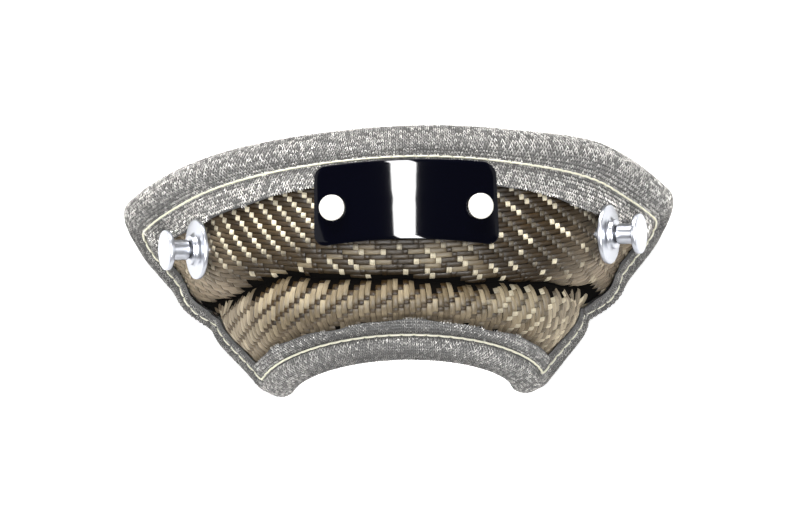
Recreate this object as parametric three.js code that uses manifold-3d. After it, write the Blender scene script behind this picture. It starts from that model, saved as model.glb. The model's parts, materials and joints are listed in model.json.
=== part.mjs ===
// Heat blanket for a wastegate actuator: a padded arch with a wide and a narrow rim.
// Millimetres, +Z up. The arch rests on its two end hems, the wide rim lies to +Y.
import * as THREE from 'three';
import Module from 'manifold-3d';
import { mergeVertices } from 'three/addons/utils/BufferGeometryUtils.js';

// Middle surface of the pad, on the centre line of the rolled rims
const spanWideHalf = 73.4;
const spanNarrowHalf = 33.4;
const riseWide = 48;
const riseNarrow = 28.5;
const rimToRim = 49;

// Pad section
const rimRadius = 4;
const padHalf = 5;
const pillowTop = 6.1;
const pillowRun = 25;
const meshThickness = 0.8;
const clothThickness = 0.9;
const layerGap = 0.5;
const battGap = 1;
const battLeast = 1;
const hemBridge = 1.4;
const restStrip = 0.35;

// Hems, measured in from the outermost line of the rim at the wide side
const stitchInset = 8.4;
const hemInset = 14.8;
const clothInset = 6.6;
const plateauInset = 24;
const innerFillInset = 14;
const innerRampInset = 9;
const wideCornerRadius = 16;
const narrowCornerRadius = 10;
const endHemScale = 0.62;
const narrowHemScale = 0.55;
const stitchShares = [0, 0.4, 0.75, 1];
const flapShares = [0.3, 0.75, 1];
const grooveDepth = 1.2;
const grooveWidth = 2.6;

// Crease between the two cloth panels
const creaseStation = 0.335;
const creaseBow = 0.16;
const creaseShoulder = 9;
const creaseFloor = 1.6;
const creaseHalfSlit = 0.3;
const creaseStart = 10;
const steepest = 2;
const rowCrowding = 1.4;

// Twill relief of the cloth
const twillRelief = 0.35;
const twillRepeat = 3;
const reliefInset = 20;
const tuckDepth = 0.3;
const upperColumns = 66;
const upperRows = 14;
const lowerColumns = 48;
const lowerRows = 8;

// Ring grid of the lining and the batt
const longCells = 20;
const lowCells = 5;
const highCells = 7;

// Threads
const threadRadius = 0.45;
const threadLift = 0.7;
const seamRadius = 0.35;
const seamEndInset = 30;
const valleyDepth = 4 * seamRadius;
const threadSides = 5;
const threadSteps = 110;
const seamSteps = 24;

// Name plate, measured along the middle surface
const plateWidth = 43;
const plateHeight = 20.4;
const plateOffset = 1.8;
const plateStation = 0.709;
const plateThickness = 0.9;
const plateLift = 6.6;
const plateTilt = -0.3;
const plateCorner = 2.2;
const plateColumns = 12;
const plateRows = 2;

// Rivets of the name plate
const rivetSpacing = 34.7;
const rivetStation = 0.69;
const rivetHeadRadius = 3.45;
const rivetHeadHeight = 0.9;
const rivetEdge = 0.3;
const rivetRadius = 1.2;
const rivetTail = 0.7;
const rivetGap = 0.5;
const burrRadius = 2.9;
const burrThickness = 0.6;

// Lacing posts and their washers
const postLean = { leanEnd: -0.12, leanWide: 0.17 };
const postLeft = { u: -0.7, s: 0.664, ...postLean };
const postRight = { u: 0.713, s: 0.7, ...postLean };
const pressSlope = 0.1;
const pressReach = 10;
const flangeRadius = 7.8;
const flangeThickness = 1.2;
const flangeEdge = 0.4;
const collarRadius = 3.9;
const collarHeight = 1.6;
const collarFillet = 0.5;
const neckRadius = 2.65;
const neckLength = 5.6;
const headRadius = 5.2;
const headThickness = 1.8;
const headEdge = 0.4;
const shankRadius = 1.8;
const shankTail = 1.2;
const backRadius = 6.5;
const backThickness = 1;
const backBore = 2.9;
const fitGap = 0.4;
const flangeLift = 1.45;
const burrGap = 0.95;
const roundSides = 24;

const slant = Math.hypot(rimToRim, riseWide - riseNarrow);
const underBase = layerGap + meshThickness;
const quarterPi = Math.PI / 4;
const { lerp, clamp } = THREE.MathUtils;
const smooth = (t) => THREE.MathUtils.smoothstep(t, 0, 1);

// Arc of the middle surface at station s: 0 on the narrow rim, 1 on the wide rim.
function arcAt(s) {
  const half = lerp(spanNarrowHalf, spanWideHalf, s);
  const rise = lerp(riseNarrow, riseWide, s);
  const angle = 2 * Math.atan2(rise, half);
  const radius = (half * half + rise * rise) / (2 * rise);
  return { angle, radius, length: radius * angle };
}

// Point of the middle surface; u runs from -1 on the left end to 1 on the right end.
function middle(u, s) {
  const arc = arcAt(s);
  const turn = u * arc.angle;
  const x = arc.radius * Math.sin(turn);
  const z = arc.radius * (Math.cos(turn) - Math.cos(arc.angle)) + rimRadius;
  return new THREE.Vector3(x, lerp(-rimToRim / 2, rimToRim / 2, s), z);
}

const nudge = 0.001;
function alongU(u, s) {
  return middle(u + nudge, s).sub(middle(u - nudge, s)).normalize();
}
function outward(u, s) {
  const alongS = middle(u, s + nudge).sub(middle(u, s - nudge));
  return alongU(u, s).cross(alongS).normalize();
}
function offset(u, s, w) {
  return middle(u, s).addScaledVector(outward(u, s), w);
}

// Hem distances are stretched past the rim, so one profile serves all four sides.
const stretch = (inset, scale) => (inset < rimRadius ? inset : rimRadius + (inset - rimRadius) / scale);
const shrink = (level, scale) => (level < rimRadius ? level : rimRadius + (level - rimRadius) * scale);
const wideStation = (level) => 1 - (shrink(level, 1) - rimRadius) / slant;
const narrowStation = (level) => (shrink(level, narrowHemScale) - rimRadius) / slant;
const endReach = (level, s) => 1 + (rimRadius - shrink(level, endHemScale)) / arcAt(s).length;

const cornerRadius = (isWide) => (isWide ? wideCornerRadius : narrowCornerRadius);

function hemLevel(u, s) {
  const end = stretch((1 - Math.abs(u)) * arcAt(s).length + rimRadius, endHemScale);
  const wide = stretch((1 - s) * slant + rimRadius, 1);
  const narrow = stretch(s * slant + rimRadius, narrowHemScale);
  const side = Math.min(wide, narrow);
  const round = cornerRadius(wide < narrow);
  if (end < round && side < round) {
    return round - Math.hypot(round - end, round - side);
  }
  return Math.min(end, side);
}

const creaseAt = (u) => creaseStation + creaseBow * u * u;
const creaseNear = (u, s) => 1 - clamp(Math.abs(s - creaseAt(u)) * slant / creaseShoulder, 0, 1);

const pillow = (inset) => smooth(inset / pillowRun);

// The posts' flanges press the pad down towards the wide rim.
function pressed(u, s) {
  return [postLeft, postRight].reduce((sum, post) => {
    const across = (u - post.u) * arcAt(s).length / pressReach;
    const toWide = (s - post.s) * slant / pressReach;
    return sum + pressSlope * pressReach * toWide * Math.exp(-across * across - toWide * toWide);
  }, 0);
}

// Height of the cloth's outer face over the middle surface.
function clothTop(u, s) {
  const level = hemLevel(u, s);
  const rise = pillow((1 - Math.abs(u)) * arcAt(s).length)
    * pillow((1 - s) * slant) * pillow(s * slant / narrowHemScale);
  const dip = (level - stitchInset) / grooveWidth;
  const plain = lerp(rimRadius - underBase, pillowTop, rise) - grooveDepth * Math.exp(-dip * dip);
  const near = creaseNear(u, s);
  const shoulder = Math.sqrt(1 - near * near);
  const fade = smooth((level - creaseStart) / (plateauInset - creaseStart));
  return plain - pressed(u, s) - (pillowTop - creaseFloor) * fade * (1 - shoulder);
}

// How much a layer's thickness grows along the normal where its face is steep.
function steepness(u, s) {
  const step = 0.5;
  const du = step / arcAt(s).length;
  const ds = step / slant;
  const gu = (clothTop(u + du, s) - clothTop(u - du, s)) / (2 * step);
  const gs = (clothTop(u, s + ds) - clothTop(u, s - ds)) / (2 * step);
  return Math.min(Math.hypot(1, gu, gs), steepest);
}
const layer = (u, s, depth) => clothTop(u, s) - depth * steepness(u, s);

// Place on the ring at a hem level, on a long side: fraction -1 to 1 runs left to right.
function longSidePlace(level, isWide, fraction) {
  const round = Math.max(cornerRadius(isWide) - level, 0);
  const stationAt = isWide ? wideStation : narrowStation;
  const s = stationAt(level);
  const straight = arcAt(s).length + rimRadius - shrink(level + round, endHemScale);
  const run = Math.abs(fraction) * (straight + round * quarterPi);
  const side = Math.sign(fraction);
  if (run <= straight) {
    return { u: side * run / arcAt(s).length, s };
  }
  const turn = (run - straight) / round;
  const sArc = stationAt(level + round - round * Math.cos(turn));
  return { u: side * endReach(level + round - round * Math.sin(turn), sArc), s: sArc };
}

// Place on the same ring on an end side; row 0 is the narrow corner, rows crowd at the crease.
function endSidePlace(level, side, row) {
  const lowRound = Math.max(narrowCornerRadius - level, 0);
  const highRound = Math.max(wideCornerRadius - level, 0);
  const sLow = narrowStation(level + lowRound);
  const sHigh = wideStation(level + highRound);
  const lowBend = lowRound * quarterPi;
  const highBend = highRound * quarterPi;
  const total = (sHigh - sLow) * slant + lowBend + highBend;
  const atCrease = lowBend + (creaseAt(endReach(level, creaseStation + creaseBow)) - sLow) * slant;
  const t = row < lowCells ? 1 - row / lowCells : (row - lowCells) / highCells;
  const eased = Math.pow(t, rowCrowding);
  const run = row < lowCells ? atCrease * (1 - eased) : lerp(atCrease, total, eased);
  let s = sLow + (run - lowBend) / slant;
  let reach = level;
  if (run < lowBend) {
    const turn = (lowBend - run) / lowRound;
    s = narrowStation(level + lowRound - lowRound * Math.sin(turn));
    reach = level + lowRound - lowRound * Math.cos(turn);
  } else if (run > total - highBend) {
    const turn = (run - total + highBend) / highRound;
    s = wideStation(level + highRound - highRound * Math.sin(turn));
    reach = level + highRound - highRound * Math.cos(turn);
  }
  return { u: side * endReach(reach, s), s };
}

// Whole ring, counter-clockwise from the narrow left corner.
function ringPlaces(level) {
  const places = [];
  const rows = lowCells + highCells;
  for (let i = 0; i < longCells; i += 1) {
    places.push(longSidePlace(level, false, 2 * i / longCells - 1));
  }
  for (let j = 0; j < rows; j += 1) {
    places.push(endSidePlace(level, 1, j));
  }
  for (let i = longCells; i > 0; i -= 1) {
    places.push(longSidePlace(level, true, 2 * i / longCells - 1));
  }
  for (let j = rows; j > 0; j -= 1) {
    places.push(endSidePlace(level, -1, j));
  }
  return places;
}

// Inside of a ring as a grid of places, blended from its four sides.
function blendedPlaces(bottom, top, left, right) {
  const columns = bottom.length - 1;
  const rows = left.length - 1;
  return left.map((_, j) => bottom.map((__, i) => {
    const v = j / rows;
    const h = i / columns;
    const mix = (key) => {
      const across = lerp(left[j][key], right[j][key], h) + lerp(bottom[i][key], top[i][key], v);
      const low = lerp(bottom[0][key], bottom[columns][key], h);
      const high = lerp(top[0][key], top[columns][key], h);
      return across - lerp(low, high, v);
    };
    return { u: mix('u'), s: mix('s') };
  }));
}

function ringGrid(level) {
  const fractions = Array.from({ length: longCells + 1 }, (_, i) => 2 * i / longCells - 1);
  const rows = Array.from({ length: lowCells + highCells + 1 }, (_, j) => j);
  const bottom = fractions.map((f) => longSidePlace(level, false, f));
  const top = fractions.map((f) => longSidePlace(level, true, f));
  const left = rows.map((j) => endSidePlace(level, -1, j));
  const right = rows.map((j) => endSidePlace(level, 1, j));
  const grid = blendedPlaces(bottom, top, left, right);
  // Rows follow the crease, so that its valley keeps one line of points at its floor.
  return grid.map((line, j) => line.map((place, i) => {
    if (j === 0 || i === 0 || j === grid.length - 1 || i === longCells) {
      return place;
    }
    const low = j <= lowCells;
    const t = low ? 1 - j / lowCells : (j - lowCells) / highCells;
    const floor = creaseAt(place.u);
    const reach = low ? grid[0][i].s : grid[grid.length - 1][i].s;
    const target = lerp(floor, reach, Math.pow(t, rowCrowding));
    const edge = Math.min(i, longCells - i) / (longCells / 2);
    return { u: place.u, s: lerp(place.s, target, smooth(clamp(2 * edge, 0, 1))) };
  }));
}

// Closed body from rows of points: collects corners and faces.
class Skin {
  constructor() {
    this.points = [];
    this.faces = [];
  }
  add(point) {
    this.points.push(point);
    return this.points.length - 1;
  }
  triangle(a, b, c) {
    this.faces.push(a, b, c);
  }
  quad(a, b, c, d) {
    this.triangle(a, b, c);
    this.triangle(a, c, d);
  }
  strip(from, to) {
    from.forEach((a, k) => {
      const next = (k + 1) % from.length;
      this.quad(a, from[next], to[next], to[k]);
    });
  }
  geometry() {
    let volume = 0;
    for (let k = 0; k < this.faces.length; k += 3) {
      const [a, b, c] = this.faces.slice(k, k + 3).map((n) => this.points[n]);
      volume += a.dot(b.clone().cross(c));
    }
    const order = volume < 0 ? this.faces.slice().reverse() : this.faces;
    const flat = this.points.flatMap((p) => [p.x, p.y, p.z]);
    const geometry = new THREE.BufferGeometry();
    geometry.setAttribute('position', new THREE.Float32BufferAttribute(flat, 3));
    geometry.setIndex(order);
    return geometry;
  }
}

// Ring body: rings run from one blended face round the section to the other blended face.
function ringBody(rings, floor) {
  const skin = new Skin();
  const drop = (place, height, rest) => {
    const point = offset(place.u, place.s, height(place.u, place.s));
    point.z = Math.max(point.z, rest);
    return skin.add(point);
  };
  const bands = rings.map((ring) => ringPlaces(ring.level).map((p) => drop(p, ring.height, ring.rest)));
  for (let k = 1; k < bands.length; k += 1) {
    skin.strip(bands[k - 1], bands[k]);
  }
  const rows = lowCells + highCells;
  const cap = (band, ring, flip) => {
    const grid = ringGrid(ring.level);
    const corner = (i, j) => {
      if (j === 0) return band[i];
      if (i === longCells) return band[longCells + j];
      if (j === rows) return band[2 * longCells + rows - i];
      if (i === 0) return band[2 * longCells + 2 * rows - j];
      return null;
    };
    const names = grid.map((line, j) => line.map((place, i) => {
      const known = corner(i, j);
      return known === null ? drop(place, ring.height, ring.rest) : known;
    }));
    for (let j = 0; j < rows; j += 1) {
      for (let i = 0; i < longCells; i += 1) {
        const face = [names[j][i], names[j][i + 1], names[j + 1][i + 1], names[j + 1][i]];
        skin.quad(...(flip ? face.reverse() : face));
      }
    }
  };
  cap(bands[0], rings[0], true);
  cap(bands[bands.length - 1], rings[rings.length - 1], floor);
  return skin.geometry();
}

const rollTurns = [-60, -30, 0, 30, 60].map(THREE.MathUtils.degToRad);
const insideTurns = [-50, 0, 50].map(THREE.MathUtils.degToRad);
const flat = (w) => () => w;
function roll(turns, radius, rest) {
  return turns.map((a) => ({
    level: rimRadius - radius * Math.cos(a), height: flat(radius * Math.sin(a)), rest,
  }));
}

const hemLevels = [
  ...stitchShares.map((share) => lerp(rimRadius, stitchInset, share)),
  ...flapShares.map((share) => lerp(stitchInset, hemInset, share)),
];
const bridge = (u, s, level) => hemBridge * creaseNear(u, s) ** 2 * smooth(level / hemInset);
const hemRings = (lift, rest) => hemLevels.map((level) => ({
  level, height: (u, s) => layer(u, s, -lift) + bridge(u, s, level), rest,
}));

// Knitted lining: inner face, rolled rim and the hem folded over the cloth, in one piece.
function meshLining() {
  const innerFace = (lift, rest) => [
    { level: innerFillInset, height: flat(lift - padHalf), rest },
    { level: innerRampInset, height: flat(lift - (padHalf + rimRadius) / 2), rest },
    { level: rimRadius, height: flat(lift - rimRadius), rest },
  ];
  const outerRest = restStrip;
  const insideRest = restStrip + meshThickness;
  const outer = [
    ...innerFace(0, outerRest), ...roll(rollTurns, rimRadius, outerRest), ...hemRings(underBase, outerRest),
  ];
  const inner = [
    ...innerFace(meshThickness, insideRest), ...roll(rollTurns, rimRadius - meshThickness, insideRest),
    ...hemRings(layerGap, insideRest),
  ].reverse();
  return ringBody([...outer, ...inner], false);
}

// Needled insulation that fills the pad.
function insulationBatt() {
  const lift = meshThickness + battGap;
  const rest = restStrip + lift;
  const depth = clothThickness + battGap;
  const high = rimRadius - underBase - depth;
  const low = lift - rimRadius;
  const reach = rimRadius - lift;
  const rim = insideTurns.map((a) => ({
    level: rimRadius - reach * Math.cos(a),
    height: flat((high + low) / 2 + (high - low) / 2 * Math.sin(a)),
    rest,
  }));
  const sunk = (u, s) => layer(u, s, depth) - creaseNear(u, s) * battGap / 2;
  const top = hemLevels.map((level) => ({ level, height: sunk, rest }));
  const valley = (u, s) => {
    const inside = smooth((hemLevel(u, s) - hemInset) / (plateauInset - hemInset));
    const soft = sunk(u, s) - inside * (battGap / 2 + creaseNear(u, s) * valleyDepth);
    return Math.max(soft, lift - padHalf + battLeast);
  };
  top[top.length - 1].height = valley;
  return ringBody([
    { level: innerFillInset, height: flat(lift - padHalf), rest },
    { level: innerRampInset, height: flat(lift - (padHalf + rimRadius) / 2), rest },
    { level: rimRadius, height: flat(low), rest },
    ...rim,
    ...top,
  ], false);
}

// Cloth panel with twill ridges on its outer face and a plain, coarser inner face.
function clothPanel(isUpper, columns, rows) {
  const side = isUpper ? 1 : -1;
  const edgeStation = (u) => creaseAt(u) + side * creaseHalfSlit / slant;
  const sEnd = edgeStation(1);
  const uEnd = endReach(clothInset, sEnd);
  const round = Math.max(cornerRadius(isUpper) - clothInset, 0);
  const bend = round * quarterPi;
  const station = isUpper ? wideStation : narrowStation;
  const straight = Math.abs(station(clothInset + round) - sEnd) * slant;
  const endPlace = (v, hand) => {
    const run = Math.pow(v, rowCrowding / 1.1) * (straight + bend);
    if (run <= straight) {
      const s = sEnd + side * run / slant;
      return { u: hand * endReach(clothInset, s), s };
    }
    const turn = (run - straight) / round;
    const s = station(clothInset + round - round * Math.sin(turn));
    return { u: hand * endReach(clothInset + round - round * Math.cos(turn), s), s };
  };
  const across = Array.from({ length: columns + 1 }, (_, i) => 2 * i / columns - 1);
  const upward = Array.from({ length: rows + 1 }, (_, j) => j / rows);
  const inner = across.map((f) => ({ u: f * uEnd, s: edgeStation(f * uEnd) }));
  const outer = across.map((f) => longSidePlace(clothInset, isUpper, f));
  const left = upward.map((v) => endPlace(v, -1));
  const right = upward.map((v) => endPlace(v, 1));
  const grid = blendedPlaces(inner, outer, left, right);
  const skin = new Skin();
  const ridge = (i, j, place) => {
    const fade = smooth((hemLevel(place.u, place.s) - hemInset) / (reliefInset - hemInset));
    const diagonal = isUpper ? i + j : i - j + columns * twillRepeat;
    return lerp(tuckDepth, diagonal % twillRepeat === 0 ? 0 : twillRelief, fade);
  };
  const topNames = grid.map((line, j) => line.map((p, i) => (
    skin.add(offset(p.u, p.s, clothTop(p.u, p.s) - ridge(i, j, p))))));
  const lowNames = grid.map((line, j) => line.map((p, i) => {
    const onBorder = j === 0 || j === rows || i === 0 || i === columns;
    const used = onBorder || (i % 2 === 0 && j % 2 === 0);
    return used ? skin.add(offset(p.u, p.s, layer(p.u, p.s, clothThickness))) : -1;
  }));
  for (let j = 0; j < rows; j += 1) {
    for (let i = 0; i < columns; i += 1) {
      skin.quad(topNames[j][i], topNames[j][i + 1], topNames[j + 1][i + 1], topNames[j + 1][i]);
    }
  }
  for (let j = 0; j < rows; j += 2) {
    for (let i = 0; i < columns; i += 2) {
      const loop = [
        [j, i], [j, i + 1], [j, i + 2], [j + 1, i + 2],
        [j + 2, i + 2], [j + 2, i + 1], [j + 2, i], [j + 1, i],
      ].map(([b, a]) => lowNames[b][a]);
      // The fan starts at the block's corner that lies away from the panel's border.
      const start = loop.indexOf(lowNames[j === 0 ? 2 : j][i === 0 ? 2 : i]);
      const turned = [...loop.slice(start), ...loop.slice(0, start)].filter((n) => n >= 0);
      for (let k = 1; k + 1 < turned.length; k += 1) {
        skin.triangle(turned[0], turned[k + 1], turned[k]);
      }
    }
  }
  const border = (names) => [
    ...names[0].slice(0, -1),
    ...names.slice(0, -1).map((line) => line[columns]),
    ...names[rows].slice(1).reverse(),
    ...names.slice(1).map((line) => line[0]).reverse(),
  ];
  skin.strip(border(lowNames), border(topNames));
  return skin.geometry();
}

function perimeterStitching() {
  const lift = underBase + threadLift + threadRadius;
  const height = (u, s) => layer(u, s, -lift) + bridge(u, s, stitchInset);
  const points = ringPlaces(stitchInset).map((p) => offset(p.u, p.s, height(p.u, p.s)));
  const path = new THREE.CatmullRomCurve3(points, true);
  return new THREE.TubeGeometry(path, threadSteps, threadRadius, threadSides, true);
}

// Seam thread under the turned-in edges of the two panels.
function seamThread() {
  const reach = endReach(seamEndInset, creaseStation + creaseBow);
  const points = Array.from({ length: seamSteps + 1 }, (_, k) => {
    const u = lerp(-reach, reach, k / seamSteps);
    const s = creaseAt(u);
    const under = layer(u, s, clothThickness) - fitGap - seamRadius;
    return offset(u, s, under);
  });
  const path = new THREE.CatmullRomCurve3(points);
  const disc = new THREE.Shape();
  disc.absarc(0, 0, seamRadius, 0, 2 * Math.PI);
  return new THREE.ExtrudeGeometry(disc, {
    steps: seamSteps, extrudePath: path, curveSegments: threadSides,
  });
}

// Bent plate with rounded corners.
function namePlate() {
  const skin = new Skin();
  const halfW = plateWidth / 2;
  const halfH = plateHeight / 2;
  const cornerColumns = [0, 0.3, 0.7];
  const inner = Array.from({ length: plateColumns + 1 }, (_, i) => (
    lerp(-halfW + plateCorner, halfW - plateCorner, i / plateColumns)));
  const xs = [
    ...cornerColumns.map((c) => -halfW + c * plateCorner),
    ...inner,
    ...cornerColumns.map((c) => halfW - c * plateCorner).reverse(),
  ];
  const face = (lift) => xs.map((x) => {
    const into = Math.max(Math.abs(x) - halfW + plateCorner, 0);
    const half = halfH - plateCorner + Math.sqrt(plateCorner * plateCorner - into * into);
    return Array.from({ length: plateRows + 1 }, (_, j) => {
      const y = lerp(-half, half, j / plateRows);
      const s = plateStation + y / slant;
      const w = plateLift + plateTilt * y / plateHeight + lift;
      return skin.add(offset((x + plateOffset) / arcAt(s).length, s, w));
    });
  });
  const low = face(0);
  const high = face(plateThickness);
  const last = xs.length - 1;
  for (let i = 0; i < last; i += 1) {
    for (let j = 0; j < plateRows; j += 1) {
      skin.quad(high[i][j], high[i + 1][j], high[i + 1][j + 1], high[i][j + 1]);
      skin.quad(low[i][j], low[i][j + 1], low[i + 1][j + 1], low[i + 1][j]);
    }
  }
  const border = (names) => [
    ...names.slice(0, -1).map((line) => line[0]),
    ...names[last].slice(0, -1),
    ...names.slice(1).map((line) => line[plateRows]).reverse(),
    ...names[0].slice(1).reverse(),
  ];
  skin.strip(border(low), border(high));
  return skin.geometry();
}

// Turned body about the pad's normal, leaned where its place says so.
// Profile points are a radius and a height over the middle surface.
function turned(place, profile) {
  const lathe = new THREE.LatheGeometry(profile.map(([r, h]) => new THREE.Vector2(r, h)), roundSides);
  lathe.rotateX(Math.PI / 2);
  const straight = outward(place.u, place.s);
  const along = alongU(place.u, place.s);
  const toWide = straight.clone().cross(along);
  const axis = straight.clone()
    .addScaledVector(along, Math.sign(place.u) * (place.leanEnd ?? 0))
    .addScaledVector(toWide, place.leanWide ?? 0)
    .normalize();
  const sideways = along.clone().addScaledVector(axis, -along.dot(axis)).normalize();
  const basis = new THREE.Matrix4().makeBasis(sideways, axis.clone().cross(sideways), axis);
  basis.setPosition(middle(place.u, place.s));
  return lathe.applyMatrix4(basis);
}
const pin = (place, radius, low, high) => turned(place, [[0, low], [radius, low], [radius, high], [0, high]]);
const ring = (place, bore, radius, low, high) => turned(place, [
  [bore, low], [radius, low], [radius, high], [bore, high], [bore, low],
]);

const rivetPlaces = [-1, 1].map((side) => {
  const run = plateOffset + side * rivetSpacing / 2;
  return { u: run / arcAt(rivetStation).length, s: rivetStation };
});
const plateTopAtRivet = plateLift + plateThickness
  + plateTilt * (rivetStation - plateStation) * slant / plateHeight;
const rivetCloth = Math.min(...rivetPlaces.map((p) => clothTop(p.u, p.s)));
const burrTop = rivetCloth - clothThickness - burrGap;
const boreRadius = shankRadius + fitGap;

function rivet(place) {
  const under = plateTopAtRivet + rivetGap;
  const top = under + rivetHeadHeight;
  const tip = burrTop - burrThickness - rivetTail;
  return turned(place, [
    [0, tip], [rivetRadius, tip], [rivetRadius, under], [rivetHeadRadius, under],
    [rivetHeadRadius, top - rivetEdge], [rivetHeadRadius - rivetEdge, top], [0, top],
  ]);
}

const postCloth = Math.max(...[postLeft, postRight].map((p) => clothTop(p.u, p.s)));
const flangeLow = postCloth + flangeLift;
const flangeHigh = flangeLow + flangeThickness;
const collarTop = flangeHigh + collarHeight;
const neckLow = collarTop + fitGap;
const headLow = neckLow + neckLength;
const headHigh = headLow + headThickness;
const backSag = backRadius * backRadius / (2 * spanWideHalf);
const backHigh = -padHalf - fitGap - backSag;
const backLow = backHigh - backThickness;

// Where the leaning shank comes out of the inner face.
function backPlace(post) {
  const run = (backLow + backHigh) / 2;
  const u = post.u + Math.sign(post.u) * run * post.leanEnd / arcAt(post.s).length;
  return { u, s: post.s + run * post.leanWide / slant };
}

function lacingPost(place) {
  const tip = backLow - shankTail;
  return turned(place, [
    [0, tip], [shankRadius, tip], [shankRadius, neckLow], [neckRadius, neckLow],
    [neckRadius, headLow], [headRadius - headEdge, headLow], [headRadius, headLow + headEdge],
    [headRadius, headHigh - headEdge], [headRadius - headEdge, headHigh], [0, headHigh],
  ]);
}
function flange(place) {
  return turned(place, [
    [boreRadius, flangeLow], [flangeRadius - flangeEdge, flangeLow],
    [flangeRadius, flangeLow + flangeEdge], [flangeRadius - flangeEdge, flangeHigh],
    [collarRadius + collarFillet, flangeHigh], [collarRadius, flangeHigh + collarFillet],
    [collarRadius, collarTop - collarFillet], [collarRadius - collarFillet, collarTop],
    [boreRadius, collarTop], [boreRadius, flangeLow],
  ]);
}

const wasm = await Module();
wasm.setup();

function solidOf(geometry) {
  const bare = geometry.clone();
  bare.deleteAttribute('normal');
  bare.deleteAttribute('uv');
  const merged = mergeVertices(bare, nudge / 10);
  return new wasm.Manifold(new wasm.Mesh({
    numProp: 3,
    vertProperties: new Float32Array(merged.attributes.position.array),
    triVerts: new Uint32Array(merged.index.array),
  }));
}
function drilled(geometry, cutters) {
  let body = solidOf(geometry);
  cutters.forEach((cutter) => {
    body = body.subtract(solidOf(cutter));
  });
  const mesh = body.getMesh();
  const result = new THREE.BufferGeometry();
  result.setAttribute('position', new THREE.Float32BufferAttribute(mesh.vertProperties, 3));
  result.setIndex(Array.from(mesh.triVerts));
  return result;
}

const through = 3 * padHalf;
const posts = [postLeft, postRight];
const postBores = () => posts.map((p) => pin(p, boreRadius, -through, through));
const rivetBores = () => rivetPlaces.map((p) => pin(p, rivetRadius + fitGap, 0, through));
const burrPockets = () => rivetPlaces.map((p) => (
  pin(p, burrRadius + fitGap, burrTop - burrThickness - rivetTail - fitGap, through)));

const steel = { color: 0xb9bcc0, metalness: 0.9, roughness: 0.35 };
const cloth = { color: 0x7a6848, metalness: 0, roughness: 0.8 };
const knit = { color: 0x97948e, metalness: 0.5, roughness: 0.7 };
const thread = { color: 0xe8e2c4, metalness: 0, roughness: 0.8 };
const pieces = [
  ['outer_upper_panel', drilled(clothPanel(true, upperColumns, upperRows), [
    ...postBores(), ...rivetBores()]), cloth],
  ['outer_lower_panel', clothPanel(false, lowerColumns, lowerRows), cloth],
  ['mesh_lining', drilled(meshLining(), postBores()), knit],
  ['insulation_batt', drilled(insulationBatt(), [...postBores(), ...burrPockets()]),
    { color: 0xe9e6dc, metalness: 0, roughness: 0.9 }],
  ['perimeter_stitching', perimeterStitching(), thread],
  ['seam_thread', seamThread(), thread],
  ['name_plate', drilled(namePlate(), rivetBores()), { color: 0x0c0d12, metalness: 0.2, roughness: 0.15 }],
  ['rivet_left', rivet(rivetPlaces[0]), { color: 0xe6e3dc, metalness: 0.3, roughness: 0.4 }],
  ['rivet_right', rivet(rivetPlaces[1]), { color: 0xe6e3dc, metalness: 0.3, roughness: 0.4 }],
  ['rivet_burr_left', ring(rivetPlaces[0], rivetRadius + fitGap, burrRadius,
    burrTop - burrThickness, burrTop), steel],
  ['rivet_burr_right', ring(rivetPlaces[1], rivetRadius + fitGap, burrRadius,
    burrTop - burrThickness, burrTop), steel],
  ['lacing_post_left', lacingPost(postLeft), steel],
  ['lacing_post_right', lacingPost(postRight), steel],
  ['post_flange_left', flange(postLeft), steel],
  ['post_flange_right', flange(postRight), steel],
  ['post_washer_left', ring(backPlace(postLeft), backBore, backRadius, backLow, backHigh), steel],
  ['post_washer_right', ring(backPlace(postRight), backBore, backRadius, backLow, backHigh), steel],
];

const blanket = new THREE.Group();
blanket.name = 'wastegate_heat_blanket';
const box = new THREE.Box3();
pieces.forEach(([name, geometry, look]) => {
  const mesh = new THREE.Mesh(geometry, new THREE.MeshStandardMaterial(look));
  mesh.name = name;
  geometry.computeBoundingBox();
  box.union(geometry.boundingBox);
  blanket.add(mesh);
});
const middleOfBox = box.getCenter(new THREE.Vector3());
blanket.children.forEach((mesh) => {
  mesh.geometry.translate(-middleOfBox.x, -middleOfBox.y, -box.min.z);
  mesh.geometry.computeVertexNormals();
});

export default blanket;
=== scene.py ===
"""Looks of the wastegate heat blanket: woven cloth, knitted wire hems, stitches, plate and posts."""

from __future__ import annotations

import json
import logging
import math
from dataclasses import dataclass, field
from enum import Enum
from typing import Sequence

import bmesh
import bpy
import numpy as np
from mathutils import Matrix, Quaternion, Vector

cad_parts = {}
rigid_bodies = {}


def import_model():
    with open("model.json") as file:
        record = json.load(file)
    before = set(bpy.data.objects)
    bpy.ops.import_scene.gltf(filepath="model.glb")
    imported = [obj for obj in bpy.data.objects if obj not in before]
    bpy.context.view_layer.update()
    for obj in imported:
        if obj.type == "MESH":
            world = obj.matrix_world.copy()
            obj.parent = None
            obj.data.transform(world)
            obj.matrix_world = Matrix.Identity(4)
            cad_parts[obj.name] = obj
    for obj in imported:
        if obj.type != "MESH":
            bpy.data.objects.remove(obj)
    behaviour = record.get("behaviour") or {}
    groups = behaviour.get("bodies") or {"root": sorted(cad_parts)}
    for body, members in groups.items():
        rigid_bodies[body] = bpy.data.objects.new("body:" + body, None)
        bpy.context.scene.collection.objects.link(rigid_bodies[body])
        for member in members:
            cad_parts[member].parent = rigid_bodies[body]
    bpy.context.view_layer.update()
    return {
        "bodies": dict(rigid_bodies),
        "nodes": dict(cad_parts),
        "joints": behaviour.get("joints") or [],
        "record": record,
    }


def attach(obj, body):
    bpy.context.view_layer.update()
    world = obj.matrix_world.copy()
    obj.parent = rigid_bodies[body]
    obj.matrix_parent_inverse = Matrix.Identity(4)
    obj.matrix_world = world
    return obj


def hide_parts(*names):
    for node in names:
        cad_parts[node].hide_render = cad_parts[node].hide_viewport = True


LOG = logging.getLogger("blanket")
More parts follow.
